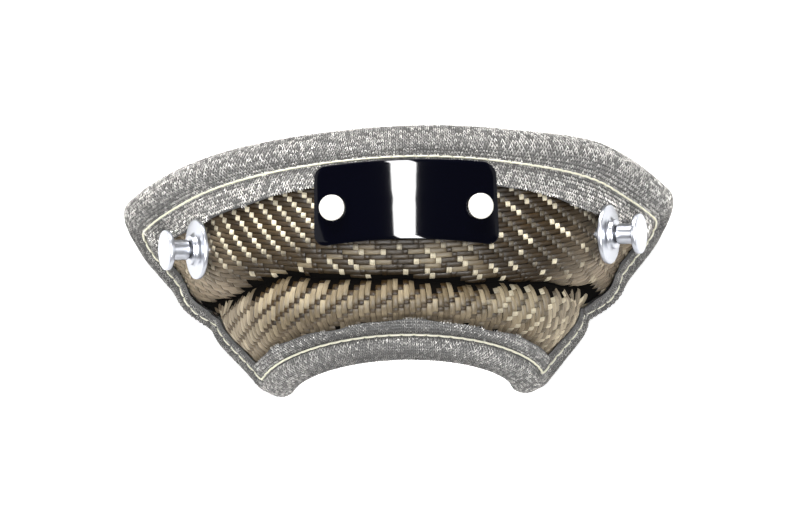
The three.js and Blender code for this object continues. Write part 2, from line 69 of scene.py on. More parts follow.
MM = 0.001
Array = np.ndarray
Profile = Sequence[tuple[float, float]]


class Side(Enum):
    """The four sides of the pad's outline."""

    WIDE = "wide"
    NARROW = "narrow"
    LEFT = "left"
    RIGHT = "right"


# Pad shape


@dataclass(frozen=True)
class PadSizes:
    """Sizes of the pad in millimetres, the same as those of the solids."""

    span_wide: float = 73.4
    span_narrow: float = 33.4
    rise_wide: float = 48.0
    rise_narrow: float = 28.5
    rim_to_rim: float = 49.0
    rim_radius: float = 4.0
    pad_half: float = 5.0
    pillow_top: float = 6.1
    pillow_run: float = 25.0
    mesh: float = 0.8
    gap: float = 0.5
    stitch: float = 8.4
    hem: float = 14.8
    wide_corner: float = 16.0
    narrow_corner: float = 10.0
    end_scale: float = 0.62
    narrow_scale: float = 0.55
    groove_depth: float = 1.2
    groove_width: float = 2.6
    crease_station: float = 0.335
    crease_bow: float = 0.16
    crease_shoulder: float = 9.0
    crease_floor: float = 1.6
    crease_start: float = 10.0
    plateau: float = 24.0
    steepest: float = 2.0
    press_wide: float = 0.3
    press_end: float = 0.32
    press_reach: float = 10.0
    inner_ramp: float = 9.0
    inner_fill: float = 14.0
    drop: float = 0.35


def smooth(t: Array) -> Array:
    """Smooth step from 0 to 1.

    Args:
        t: Values, 0 to 1 inside the step.

    Returns:
        The eased values.
    """
    t = np.clip(t, 0.0, 1.0)
    return t * t * (3.0 - 2.0 * t)


def blend(a: Array, b: Array, t: Array) -> Array:
    """Linear blend from a to b."""
    return a + (b - a) * t


class Pad:
    """Shape of the padded arch, by place (u, s) on its middle surface.

    u runs from -1 on the left end to 1 on the right end, s from 0 on the narrow
    rim's centre line to 1 on the wide rim's. Lengths are in millimetres.
    """

    POSTS = ((-0.7, 0.664), (0.713, 0.7))
    NUDGE = 0.001
    SETTLE = 3.0

    def __init__(self, sizes: PadSizes) -> None:
        self.z = sizes
        self.slant = math.hypot(sizes.rim_to_rim, sizes.rise_wide - sizes.rise_narrow)
        self.under = sizes.gap + sizes.mesh

    def arc(self, s: Array) -> tuple[Array, Array, Array]:
        """Half angle, radius and half length of the middle surface's arc at s."""
        z = self.z
        half = blend(z.span_narrow, z.span_wide, s)
        rise = blend(z.rise_narrow, z.rise_wide, s)
        angle = 2.0 * np.arctan2(rise, half)
        radius = (half * half + rise * rise) / (2.0 * rise)
        return angle, radius, radius * angle

    def middle(self, u: Array, s: Array) -> Array:
        """Points of the middle surface, with the unevenness of a sewn pad."""
        z = self.z
        angle, radius, _ = self.arc(s)
        turn = u * angle
        x = radius * np.sin(turn)
        ends = smooth((np.abs(u) - 0.6) / 0.35) * np.sign(u)
        pinch = np.where(u > 0, 2.2, 1.3) * np.exp(-(((s - 0.4) / 0.055) ** 2))
        x = x - ends * (pinch - 1.3 * np.exp(-(((s - 0.53) / 0.06) ** 2)))
        edge = smooth((s - 0.84) / 0.2)
        uneven = 0.9 * np.exp(-(((u + 0.2) / 0.27) ** 2)) - 2.6 * np.exp(-(((u - 0.6) / 0.2) ** 2))
        foot = smooth((0.33 - s) / 0.22)
        raised = 0.8 * (1 - smooth((u - 0.85) / 0.15))
        y = blend(-z.rim_to_rim / 2, z.rim_to_rim / 2, s) - 0.008 - uneven * edge + raised * foot
        up = radius * (np.cos(turn) - np.cos(angle)) + z.rim_radius - z.drop
        return np.stack(np.broadcast_arrays(x, y, up), -1)

    def along(self, u: Array, s: Array) -> Array:
        """Unit direction of growing u."""
        step = self.middle(u + self.NUDGE, s) - self.middle(u - self.NUDGE, s)
        return step / np.linalg.norm(step, axis=-1, keepdims=True)

    def outward(self, u: Array, s: Array) -> Array:
        """Unit normal of the middle surface, to the convex side."""
        rise = self.middle(u, s + self.NUDGE) - self.middle(u, s - self.NUDGE)
        normal = np.cross(self.along(u, s), rise)
        return normal / np.linalg.norm(normal, axis=-1, keepdims=True)

    def offset(self, u: Array, s: Array, w: Array) -> Array:
        """Points at height w over the middle surface, never under the floor."""
        points = self.middle(u, s) + self.outward(u, s) * np.asarray(w)[..., None]
        points[..., 2] = np.maximum(points[..., 2], 0.0)
        return points

    def stretch(self, inset: Array, scale: float) -> Array:
        """Hem level of a distance from the outermost line."""
        r = self.z.rim_radius
        return np.where(inset < r, inset, r + (inset - r) / scale)

    def shrink(self, level: Array, scale: float) -> Array:
        """Distance from the outermost line of a hem level."""
        r = self.z.rim_radius
        return np.where(level < r, level, r + (level - r) * scale)

    def level(self, u: Array, s: Array) -> Array:
        """Hem level of a place: 0 on the outermost line, growing inwards."""
        z = self.z
        end = self.stretch((1 - np.abs(u)) * self.arc(s)[2] + z.rim_radius, z.end_scale)
        wide = self.stretch((1 - s) * self.slant + z.rim_radius, 1.0)
        narrow = self.stretch(s * self.slant + z.rim_radius, z.narrow_scale)
        side = np.minimum(wide, narrow)
        bend = np.where(wide < narrow, z.wide_corner, z.narrow_corner)
        inner = bend - np.hypot(bend - end, bend - side)
        in_corner = (end < bend) & (side < bend)
        return np.where(in_corner, inner, np.minimum(end, side))

    def crease(self, u: Array) -> Array:
        """Station of the crease, a little wavy as sewn cloth is."""
        z = self.z
        wave = 0.052 * np.exp(-(((u + 0.46) / 0.16) ** 2)) - 0.024 * np.exp(-(((u - 0.24) / 0.2) ** 2))
        wave = wave + 0.022 * np.exp(-(((u - 0.78) / 0.2) ** 2)) + 0.004 * np.sin(31.0 * u + 2.1)
        return z.crease_station + z.crease_bow * u * u + wave

    def near(self, u: Array, s: Array) -> Array:
        """1 on the crease, 0 past its shoulders."""
        away = np.abs(s - self.crease(u)) * self.slant / self.z.crease_shoulder
        return 1.0 - np.clip(away, 0.0, 1.0)

    def pillow(self, inset: Array) -> Array:
        """Rise of the padding with the distance from a rim."""
        return smooth(inset / self.z.pillow_run)

    def swell(self, u: Array, s: Array) -> Array:
        """Slow unevenness of the stuffed pad."""
        a = np.sin(5.1 * u + 2.0 * s + 0.7) + 0.6 * np.sin(11.3 * u - 3.1 * s)
        return 0.16 * a

    def cloth(self, u: Array, s: Array) -> Array:
        """Height of the cloth's outer face."""
        z = self.z
        level = self.level(u, s)
        rise = self.pillow((1 - np.abs(u)) * self.arc(s)[2])
        rise = rise * self.pillow((1 - s) * self.slant) * self.pillow(s * self.slant / z.narrow_scale)
        dip = (level - z.stitch) / z.groove_width
        plain = blend(z.rim_radius - self.under, z.pillow_top, rise) - z.groove_depth * np.exp(-dip * dip)
        near = self.near(u, s)
        shoulder = np.sqrt(1 - near * near)
        fade = smooth((level - z.crease_start) / (z.plateau - z.crease_start))
        pressed = np.zeros_like(plain)
        for pu, ps in self.POSTS:
            across = (u - pu) * self.arc(s)[2] / z.press_reach
            to_wide = (s - ps) * self.slant / z.press_reach
            tilt = z.press_wide * to_wide + z.press_end * across * np.sign(pu)
            pressed = pressed + z.press_reach * tilt * np.exp(-across**2 - to_wide**2)
        return plain - pressed - (z.pillow_top - z.crease_floor) * fade * (1 - shoulder) + self.swell(u, s)

    def steep(self, u: Array, s: Array) -> Array:
        """Growth of a layer's thickness along the normal where its face is steep."""
        step = 0.5
        du = step / self.arc(s)[2]
        ds = step / self.slant
        gu = (self.cloth(u + du, s) - self.cloth(u - du, s)) / (2 * step)
        gs = (self.cloth(u, s + ds) - self.cloth(u, s - ds)) / (2 * step)
        return np.minimum(np.sqrt(1 + gu * gu + gs * gs), self.z.steepest)

    def hem_top(self, u: Array, s: Array) -> Array:
        """Height of the folded hem's outer face."""
        bridge = 1.4 * self.near(u, s) ** 2 * smooth(self.level(u, s) / self.z.hem)
        return self.cloth(u, s) + self.under * self.steep(u, s) + bridge

    # Flat pattern of the conical arch, in which the yarns run straight
    @property
    def fan(self) -> tuple[float, float]:
        """Half angle of the flat pattern and the radius of its narrow edge."""
        near, far = float(self.arc(0.0)[2]), float(self.arc(1.0)[2])
        angle = (far - near) / self.slant
        return angle, near / angle

    def flat_to_place(self, x: Array, y: Array) -> tuple[Array, Array]:
        """Place (u, s) of a point of the flat pattern."""
        angle, inner = self.fan
        return np.arctan2(x, y) / angle, (np.hypot(x, y) - inner) / self.slant

    def place_to_flat(self, u: Array, s: Array) -> tuple[Array, Array]:
        """Point of the flat pattern at a place."""
        angle, inner = self.fan
        reach = inner + s * self.slant
        return reach * np.sin(u * angle), reach * np.cos(u * angle)

    # Places on the hem rings
    def wide_station(self, level: Array) -> Array:
        """Station of a level on the wide side."""
        return 1 - (self.shrink(level, 1.0) - self.z.rim_radius) / self.slant

    def narrow_station(self, level: Array) -> Array:
        """Station of a level on the narrow side."""
        return (self.shrink(level, self.z.narrow_scale) - self.z.rim_radius) / self.slant

    def end_reach(self, level: Array, s: Array) -> Array:
        """u of a level on the right end at station s."""
        return 1 + (self.z.rim_radius - self.shrink(level, self.z.end_scale)) / self.arc(s)[2]

    def side_scale(self, side: Side) -> float:
        """Hem width of a side over that of the wide side."""
        return {Side.WIDE: 1.0, Side.NARROW: self.z.narrow_scale}.get(side, self.z.end_scale)

    def ring_place(self, level: Array, side: Side, f: Array) -> tuple[Array, Array]:
        """Place on the ring of a hem level.

        Args:
            level: Hem level.
            side: Side of the outline, with half of its corners.
            f: -1 to 1 along the side, left to right or narrow to wide.

        Returns:
            u and s of each place.
        """
        level, f = np.broadcast_arrays(np.asarray(level, float), np.asarray(f, float))
        sign = np.sign(f)
        low_bend = np.maximum(self.z.narrow_corner - level, 1e-6)
        high_bend = np.maximum(self.z.wide_corner - level, 1e-6)
        if side in (Side.WIDE, Side.NARROW):
            station, bend = (
                (self.wide_station, high_bend) if side is Side.WIDE else (self.narrow_station, low_bend)
            )
            over = level + bend
            s = station(level)
            straight = self.arc(s)[2] + self.z.rim_radius - self.shrink(over, self.z.end_scale)
            run = np.abs(f) * (straight + bend * math.pi / 4)
            turn = np.clip((run - straight) / bend, 0, math.pi / 4)
            s_arc = station(over - bend * np.cos(turn))
            u_arc = self.end_reach(over - bend * np.sin(turn), s_arc)
            on_arc = run > straight
            return sign * np.where(on_arc, u_arc, run / self.arc(s)[2]), np.where(on_arc, s_arc, s)
        low, high = self.narrow_station(level + low_bend), self.wide_station(level + high_bend)
        low_run, high_run = low_bend * math.pi / 4, high_bend * math.pi / 4
        total = (high - low) * self.slant + low_run + high_run
        run = (f + 1) / 2 * total
        upper = run > total / 2
        bend = np.where(upper, high_bend, low_bend)
        past = np.where(upper, run - total + high_run, low_run - run)
        turn = np.clip(past / bend, 0, math.pi / 4)
        on_arc = past > 0
        corner_level = level + bend - bend * np.sin(turn)
        s_arc = np.where(upper, self.wide_station(corner_level), self.narrow_station(corner_level))
        s = np.where(on_arc, s_arc, low + (run - low_run) / self.slant)
        reach = np.where(on_arc, level + bend - bend * np.cos(turn), level)
        hand = -1.0 if side is Side.LEFT else 1.0
        return hand * self.end_reach(reach, s), s

    def fold(self, p: Array, side: Side, f: Array) -> Array:
        """Points of the lining's outer face round the rim.

        Args:
            p: Distance round the section from the outermost line, positive over the hem.
            side: Side of the outline.
            f: Place along the side.

        Returns:
            Points in millimetres.
        """
        r = self.z.rim_radius
        quarter = r * math.pi / 2
        p, f = np.broadcast_arrays(np.asarray(p, float), np.asarray(f, float))
        turn = np.clip(p, -quarter, quarter) / r
        inset = r - r * np.cos(turn) + np.maximum(np.abs(p) - quarter, 0.0)
        level = self.stretch(inset, self.side_scale(side))
        u, s = self.ring_place(level, side, f)
        over = self.hem_top(u, s)
        under = -self.inner_depth(level)
        settled = smooth((p - quarter) / self.SETTLE)
        w = np.where(p > quarter, blend(r, over, settled), r * np.sin(turn))
        w = np.where(p < -quarter, under, w)
        return self.offset(u, s, w)

    def inner_depth(self, level: Array) -> Array:
        """Depth of the inner face under the middle surface."""
        z = self.z
        stops = [z.rim_radius, z.inner_ramp, z.inner_fill]
        return np.interp(level, stops, [z.rim_radius, (z.rim_radius + z.pad_half) / 2, z.pad_half])


# Shaders


class Wire:
    """A shader socket that takes part in plain arithmetic."""

    def __init__(self, look: "Look", socket: bpy.types.NodeSocket) -> None:
        self.look = look
        self.socket = socket

    def _math(self, kind: str, *others: "Wire | float") -> "Wire":
        return self.look.node("ShaderNodeMath", [self, *others], operation=kind)

    def __add__(self, other: "Wire | float") -> "Wire":
        return self._math("ADD", other)

    def __radd__(self, other: float) -> "Wire":
        return self._math("ADD", other)

    def __sub__(self, other: "Wire | float") -> "Wire":
        return self._math("SUBTRACT", other)

    def __rsub__(self, other: float) -> "Wire":
        return self.look.node("ShaderNodeMath", [other, self], operation="SUBTRACT")

    def __mul__(self, other: "Wire | float") -> "Wire":
        return self._math("MULTIPLY", other)

    def __rmul__(self, other: float) -> "Wire":
        return self._math("MULTIPLY", other)

    def __pow__(self, other: "Wire | float") -> "Wire":
        return self._math("POWER", other)

    def sin(self) -> "Wire":
        """Sine of the value."""
        return self._math("SINE")

    def absolute(self) -> "Wire":
        """Value without its sign."""
        return self._math("ABSOLUTE")

    def ramp(self, low: float, high: float, to_low: float = 0.0, to_high: float = 1.0) -> "Wire":
        """Eased map of a range onto another."""
        return self.look.node(
            "ShaderNodeMapRange", [self, low, high, to_low, to_high], interpolation_type="SMOOTHSTEP"
        )


@dataclass(frozen=True)
class Finish:
    """Plain values of a material."""

    name: str
    color: tuple[float, float, float]
    roughness: float = 0.5
    metallic: float = 0.0
    specular: float = 0.5


class Look:
    """A material under construction."""

    def __init__(self, finish: Finish) -> None:
        self.finish = finish
        self.material = bpy.data.materials.new(finish.name)
        self.material.use_nodes = True
        self.tree = self.material.node_tree
        self.principled = self.tree.nodes["Principled BSDF"]
        self.set("Base Color", finish.color)
        self.set("Roughness", finish.roughness)
        self.set("Metallic", finish.metallic)
        self.set("Specular IOR Level", finish.specular)

    def _feed(self, socket: bpy.types.NodeSocket, value: object) -> None:
        if isinstance(value, Wire):
            self.tree.links.new(value.socket, socket)
        elif value is None:
            return
        elif isinstance(value, (tuple, list)):
            wanted = len(socket.default_value)
            filled = list(value) + [1.0] * (wanted - len(value))
            socket.default_value = filled[:wanted]
        else:
            socket.default_value = value

    def node(
        self, kind: str, inputs: Sequence[object] = (), output: int | str = 0, **settings: object
    ) -> Wire:
        """Adds a node.

        Args:
            kind: Node type.
            inputs: Values or wires for its first sockets, None to skip one.
            output: Which output to hand back.
            settings: Properties of the node.

        Returns:
            The chosen output.
        """
        made = self.tree.nodes.new(kind)
        for key, value in settings.items():
            setattr(made, key, value)
        for socket, value in zip(made.inputs, inputs):
            self._feed(socket, value)
        return Wire(self, made.outputs[output])

    def set(self, name: str, value: object) -> None:
        """Feeds an input of the surface shader."""
        self._feed(self.principled.inputs[name], value)

    def attribute(self, name: str) -> Wire:
        """A number stored on the mesh."""
        return self.node("ShaderNodeAttribute", attribute_name=name, output="Fac")

    def coords(self) -> Wire:
        """Object coordinates."""
        return self.node("ShaderNodeTexCoord", output="Object")

    def uv(self, name: str) -> Wire:
        """The piece's own UV map."""
        return self.node("ShaderNodeUVMap", uv_map=name)

    def split(self, vector: Wire) -> tuple[Wire, Wire, Wire]:
        """The three parts of a vector."""
        made = self.tree.nodes.new("ShaderNodeSeparateXYZ")
        self.tree.links.new(vector.socket, made.inputs[0])
        return tuple(Wire(self, out) for out in made.outputs)

    def scaled(self, vector: Wire, by: tuple[float, float, float]) -> Wire:
        """Vector times a factor in each direction."""
        return self.node("ShaderNodeVectorMath", [vector, by], operation="MULTIPLY")

    def noise(self, vector: Wire, scale: float, detail: float = 3.0) -> Wire:
        """Noise from 0 to 1 at a scale."""
        made = self.tree.nodes.new("ShaderNodeTexNoise")
        self.tree.links.new(vector.socket, made.inputs["Vector"])
        made.inputs["Scale"].default_value = scale
        made.inputs["Detail"].default_value = detail
        return Wire(self, made.outputs["Fac"])

    def mix(self, a: object, b: object, by: Wire | float) -> Wire:
        """Colour between a and b."""
        made = self.tree.nodes.new("ShaderNodeMix")
        made.data_type = "RGBA"
        self._feed(made.inputs[0], by)
        self._feed(made.inputs[6], a)
        self._feed(made.inputs[7], b)
        return Wire(self, made.outputs[2])

    def shaded(self, color: object, by: Wire) -> Wire:
        """Colour made lighter or darker by a factor."""
        return self.node("ShaderNodeVectorMath", [color, None, None, by], operation="SCALE")

    def bump(self, height: Wire, strength: float, distance_mm: float) -> None:
        """Small relief on the surface."""
        made = self.tree.nodes.new("ShaderNodeBump")
        made.inputs["Strength"].default_value = strength
        made.inputs["Distance"].default_value = distance_mm * MM
        self.tree.links.new(height.socket, made.inputs["Height"])
        self.set("Normal", Wire(self, made.outputs[0]))


class Shop:
    """Makes the materials of the object."""

    def yarn(self, finish: Finish) -> bpy.types.Material:
        """Woven yarn: glossy fibres that run along it."""
        look = Look(finish)
        along = look.uv("yarn")
        streaks = look.noise(look.scaled(along, (0.5, 7.0, 1.0)), 1.0, 4.0)
        tone = look.attribute("tone")
        # Painted sheen: beige mixed in where the yarn would catch the light.
        base = look.mix(finish.color, PAINTED_SHEEN_BEIGE, look.attribute("painted_sheen"))
        # Painted grazing sheen: taupe where the cloth turns away at the ends and the foot.
        base = look.mix(base, PAINTED_GRAZING_TAUPE, look.attribute("painted_grazing_sheen"))
        # Painted highlight: cream on the yarn crossings that would glint.
        base = look.mix(base, PAINTED_GLINT_CREAM, look.attribute("lit"))
        shade = (streaks - 0.5) * 2.2 + (tone - 0.5) * 0.5 + 1.0
        look.set("Base Color", look.shaded(base, shade))
        look.set("Roughness", streaks * 0.25 + finish.roughness - 0.12)
        look.bump(streaks, 0.7, 0.14)
        return look.material

    def wire(self, finish: Finish) -> bpy.types.Material:
        """Knitted wire: each loop has a tone of its own, a random part times painted light and shade set by
        place.
        """
        look = Look(finish)
        tone = look.attribute("tone")
        # tone carries a random part times painted light and shade, set in Hem.loops.
        shade = (tone**1.5) * 0.72 + 0.1
        look.set("Base Color", look.shaded(finish.color, shade))
        look.set("Roughness", tone * -0.2 + finish.roughness + 0.1)
        return look.material

    def knit(self, finish: Finish) -> bpy.types.Material:
        """Knitted wire as relief on a plain skin, with painted shade in the hollows between loops."""
        look = Look(finish)
        u, v, _ = look.split(look.uv("knit"))
        wale = (u * (2 * math.pi / 0.9)).sin()
        leg = ((v + wale.absolute() * 0.35) * (2 * math.pi / 0.8)).sin()
        loops = wale * wale * 0.6 + leg * 0.5
        grain = look.noise(look.uv("knit"), 1.4, 2.0)
        # Painted shade: the colour darkens to 35 % in the hollows between loops.
        painted_hollow_shade = tuple(c * 0.35 for c in finish.color)
        share = loops.ramp(-0.4, 1.0) * (grain * 0.6 + 0.6)
        look.set("Base Color", look.mix(painted_hollow_shade, finish.color, share))
        look.bump(loops, 0.8, 0.25)
        return look.material

    def plain(self, finish: Finish, grain: float = 0.0, scale: float = 900.0) -> bpy.types.Material:
        """A plain finish with an optional fine grain."""
        look = Look(finish)
        if grain:
            speck = look.noise(look.coords(), scale, 4.0)
            shade = (speck - 0.5) * grain + 1.0
            look.set("Base Color", look.shaded(finish.color, shade))
            look.set("Roughness", speck * grain * 0.4 + finish.roughness - grain * 0.2)
            look.bump(speck, 0.15, 0.05)
        return look.material


# Meshes


@dataclass
class Build:
    """A mesh piece: points in millimetres, faces and stored values."""

    points: Array
    faces: Array
    values: dict[str, Array] = field(default_factory=dict)
    uvs: dict[str, Array] = field(default_factory=dict)

    def make(self, name: str, material: bpy.types.Material, soft: bool = True) -> bpy.types.Object:
        """Makes the object.

        Args:
            name: Object name.
            material: Its material.
            soft: Whether its faces shade smooth.

        Returns:
            The object, linked to the scene.
        """
        mesh = bpy.data.meshes.new(name)
        size = self.faces.shape[1]
        mesh.vertices.add(len(self.points))
        mesh.vertices.foreach_set("co", np.asarray(self.points * MM, np.float32).ravel())
        mesh.loops.add(self.faces.size)
        mesh.loops.foreach_set("vertex_index", self.faces.astype(np.int32).ravel())
        mesh.polygons.add(len(self.faces))
        mesh.polygons.foreach_set("loop_start", np.arange(0, self.faces.size, size, dtype=np.int32))
        mesh.polygons.foreach_set("use_smooth", np.full(len(self.faces), soft))
        for key, value in self.values.items():
            layer = mesh.attributes.new(key, "FLOAT", "POINT")
            layer.data.foreach_set("value", np.asarray(value, np.float32))
        for key, value in self.uvs.items():
            layer = mesh.uv_layers.new(name=key)
            layer.data.foreach_set("uv", np.asarray(value[self.faces.ravel()], np.float32).ravel())
        mesh.update(calc_edges=True)
        mesh.validate()
        mesh.materials.append(material)
        made = bpy.data.objects.new(name, mesh)
        bpy.context.scene.collection.objects.link(made)
        LOG.info("%s: %d faces", name, len(self.faces))
        return made


def grid_faces(rows: int, columns: int, closed: bool = False) -> Array:
    """Quads of a grid of points, row by row."""
    j, i = np.meshgrid(np.arange(rows - 1), np.arange(columns if closed else columns - 1), indexing="ij")
    right = (i + 1) % columns
    quads = [j * columns + i, j * columns + right, (j + 1) * columns + right, (j + 1) * columns + i]
    return np.stack(quads, -1).reshape(-1, 4)


def weld(made: bpy.types.Object) -> None:
    """Merges points of a piece that coincide."""
    shell = bmesh.new()
    shell.from_mesh(made.data)
    bmesh.ops.remove_doubles(shell, verts=shell.verts, dist=0.002 * MM)
    bmesh.ops.dissolve_degenerate(shell, edges=shell.edges, dist=0.002 * MM)
    shell.to_mesh(made.data)
    shell.free()


class Direction(Enum):
    """Which way a yarn runs in the flat pattern."""

    ACROSS = "across"
    UP = "up"


@dataclass(frozen=True)
class Weave:
    """A twill: each yarn passes over three and under one."""

    pitch: float = 1.27
    repeat: int = 4
    height: float = 0.39
    sunk: float = 0.39
    fill: float = 0.49


class ClothPanel:
    """Woven panel of the pad's outer face, yarn by yarn.

    Its lengths are in millimetres: how far the yarns are laid out in the flat
    pattern, how deep the panel is tucked under the hem, and the slit at the crease.
    """

    REACH = 105.0
    START = 20.0
    PAST = 4.0
    TUCK = 12.5
    SLIT = 0.3

    def __init__(self, pad: Pad, weave: Weave, upper: bool) -> None:
        self.pad = pad
        self.weave = weave
        self.upper = upper
        self.random = np.random.default_rng(11 if upper else 23)

    def bulge(self, u: Array, s: Array) -> Array:
        """Extra puff of the lower panel over the narrow hem."""
        if self.upper:
            return np.zeros_like(s)
        pad = self.pad
        start = pad.narrow_station(np.asarray(pad.z.hem))
        t = (s - start) / np.maximum(pad.crease(u) - start, 0.05)
        ends = smooth((pad.level(u, s) - pad.z.hem) / 5.0)
        return 2.0 * np.sqrt(np.clip(t, 0, 1)) * np.clip(1 - t, 0, 1) ** 0.7 * 1.6 * ends

    def height(self, u: Array, s: Array) -> Array:
        """Height of the panel's face."""
        return self.pad.cloth(u, s) + self.bulge(u, s)

    def kept(self, u: Array, s: Array, margin: float) -> Array:
        """Whether a place lies on this panel, margin millimetres past the crease allowed."""
        pad = self.pad
        side = 1.0 if self.upper else -1.0
        past = (s - pad.crease(u)) * pad.slant * side
        return (past > margin) & (pad.level(u, s) > self.TUCK)

    def patches(
        self, cells: Array, run: Direction, half: float, columns: int, rows: int, kind: float
    ) -> Build:
        """Domed strips, one for each place where a yarn lies on top.

        Args:
            cells: Centres in the flat pattern, in millimetres.
            run: Which way the yarn runs.
            half: Half of the visible length.
            columns: Points along the yarn.
            rows: Points across it.
            kind: 0 for the long floats, 1 for the short crossings.

        Returns:
            The strips as one mesh.
        """
        weave, pad = self.weave, self.pad
        a = np.linspace(-1, 1, columns)[None, None, :]
        b = np.sin(np.linspace(-1, 1, rows) * math.pi / 2)[None, :, None]
        count = len(cells)
        wide = weave.pitch * weave.fill * (1 - 0.10 * a**4)
        jitter = self.random.normal(0, 0.035, (count, 1, 1))
        along, across = a * half + 0 * b, b * wide + jitter
        if run is Direction.ACROSS:
            x, y = cells[:, 0, None, None] + along, cells[:, 1, None, None] + across
        else:
            x, y = cells[:, 0, None, None] + across, cells[:, 1, None, None] + along
        x, y = np.broadcast_arrays(x, y)
        dome = np.sqrt(1 - 0.93 * b * b) * (1 - 0.95 * np.abs(a) ** (3.0 if kind else 5.0))
        lift = weave.height * dome + 0.07 * kind - weave.sunk
        u, s = pad.flat_to_place(x, y)
        side = 1.0 if self.upper else -1.0
        edge = pad.crease(u) + side * self.SLIT / pad.slant
        s = np.maximum(s, edge) if self.upper else np.minimum(s, edge)
        points = pad.offset(u, s, self.height(u, s) + lift)
        tone = np.broadcast_to(self.random.random((count, 1, 1)), x.shape)
        uv = np.stack(np.broadcast_arrays(along + 7.3 * np.arange(count)[:, None, None], b + 0 * a), -1)
        base = grid_faces(rows, columns)
        faces = (base[None] + (np.arange(count) * rows * columns)[:, None, None]).reshape(-1, 4)
        lit, painted_sheen, painted_grazing_sheen = self.colours(u, s, tone, kind)
        return Build(
            points.reshape(-1, 3), faces,
            {"tone": tone.ravel(), "lit": lit.ravel(), "painted_sheen": painted_sheen.ravel(), "painted_grazing_sheen": painted_grazing_sheen.ravel()},
            {"yarn": uv.reshape(-1, 2)},
        )

    def colours(self, u: Array, s: Array, tone: Array, kind: float) -> tuple[Array, Array, Array]:
        """Painted highlight (cream), painted sheen (beige) and painted grazing sheen (taupe) of the yarns,
        by place.

        Args:
            u: Place along the arch.
            s: Station.
            tone: Random number of each strip.
            kind: 0 for the long floats, 1 for the short crossings.

        Returns:
            Shares of painted highlight, painted sheen and painted grazing sheen, each from 0 to 1.
        """
        side = smooth((np.abs(u) - 0.52) / 0.2)
        if self.upper:
            # Upper panel: a painted highlight band on its upper part and painted glints at random, fading
            # to the right and at the ends as painted shade.
            low = smooth((0.53 - s) / 0.09) * (1 - side)
            right = smooth((u - 0.2) / 0.15)
            glint = np.where(tone > 0.5, 0.95, 0.12)
            high = smooth((s - 0.5) / 0.1) * (1 - right) + smooth((s - 0.45) / 0.08) * glint * right
            lit = kind * high * (0.72 + 0.4 * tone) * (1 - 0.72 * side)
            lit = lit + kind * low * np.where(tone > 0.62, 0.8, 0.0)
            # Painted sheen on floats picked at random below the plate, less to the right, and a little
            # painted light on the left.
            sheen_pick = np.where(tone > 0.66, 0.8, 0.05)
            lit = lit + (1 - kind) * low * sheen_pick * (1 - 0.85 * right) * 0.18
            painted_sheen = (1 - kind) * low * sheen_pick * (1 - 0.8 * right) + 0.06 * (1 - right)
            # Painted grazing sheen at the ends of the arch.
            return np.clip(lit, 0, 1), np.clip(painted_sheen, 0, 1), side * (0.9 - 0.3 * kind)
        # Lower panel: painted sheen on the long floats, painted glints on the crossings to the right,
        # painted grazing sheen at the foot and ends.
        right = smooth((u - 0.25) / 0.25)
        foot = 1 - smooth((s - 0.1) / 0.12)
        lit = (1 - kind) * (0.03 + 0.2 * tone * (1 - foot)) + kind * right * np.where(tone > 0.5, 0.6, 0.1)
        painted_sheen = (1 - kind) * 0.9 + kind * foot * 0.45
        painted_grazing_sheen = np.maximum(side * 0.8, foot * 0.75) * (1 - 0.5 * kind * (1 - foot))
        return np.clip(lit * (1 - 0.6 * foot), 0, 1), painted_sheen, painted_grazing_sheen

    def build(self, material: bpy.types.Material) -> bpy.types.Object:
        """Weaves the panel."""
        pad, weave = self.pad, self.weave
        pitch = weave.pitch
        side_count = int(self.REACH / pitch)
        columns = np.arange(-side_count, side_count + 1)
        rows = np.arange(int(self.START / pitch), int((pad.fan[1] + pad.slant + self.PAST) / pitch) + 1)
        i, j = np.meshgrid(columns, rows)
        crossing = (i + j if self.upper else i - j) % weave.repeat == 0
        short = np.stack([i[crossing], j[crossing]], -1) * pitch
        if self.upper:
            long = short + np.array([2 * pitch, 0.0])
            runs = (Direction.ACROSS, Direction.UP)
        else:
            long = short + np.array([0.0, 2 * pitch])
            runs = (Direction.UP, Direction.ACROSS)
        parts = []
        for cells, run, half, shape, kind in (
            (long, runs[0], pitch * 1.56, (10, 6), 0.0),
            (short, runs[1], pitch * 0.56, (6, 6), 1.0),
        ):
            u, s = pad.flat_to_place(cells[:, 0], cells[:, 1])
            least = 0.75 if kind == 0 and not self.upper else 0.15
            margin = self.random.uniform(least, least + 1.0, len(cells))
            cells = cells[self.kept(u, s, margin) & (np.abs(u) < 1)]
            parts.append(self.patches(cells, run, half, shape[0], shape[1], kind))
        return join(parts).make("upper_weave" if self.upper else "lower_weave", material)

    def backing(self, material: bpy.types.Material) -> bpy.types.Object:
        """Near-black skin under the yarns, down into the crease: painted shade between the yarns and in the
        crease.
        """
        pad = self.pad
        columns, rows = 160, 60
        u = np.linspace(-0.985, 0.985, columns)[None, :] * np.ones((rows, 1))
        t = np.linspace(0, 1, rows)[:, None]
        side = 1.0 if self.upper else -1.0
        edge = pad.crease(u) - side * 0.15 / pad.slant
        rim = pad.wide_station(np.asarray(8.0)) if self.upper else pad.narrow_station(np.asarray(8.0))
        s = blend(edge, rim, t**1.4)
        w = self.height(u, s) - 0.5 * pad.steep(u, s)
        w[0] -= 1.2
        level = pad.level(u, s)
        w = w - 2.5 * smooth((9.0 - level) / 3.0)
        points = pad.offset(u, s, w).reshape(-1, 3)
        faces = grid_faces(rows, columns)
        if not self.upper:
            faces = faces[:, ::-1]
        return Build(points, faces).make("upper_backing" if self.upper else "lower_backing", material)


def join(parts: Sequence[Build]) -> Build:
    """Joins builds that store the same values."""
    start = np.cumsum([0] + [len(p.points) for p in parts[:-1]])
    return Build(
        np.concatenate([p.points for p in parts]),
        np.concatenate([p.faces + n for p, n in zip(parts, start)]),
        {k: np.concatenate([p.values[k] for p in parts]) for k in parts[0].values},
        {k: np.concatenate([p.uvs[k] for p in parts]) for k in parts[0].uvs},
    )


# Repeated pieces


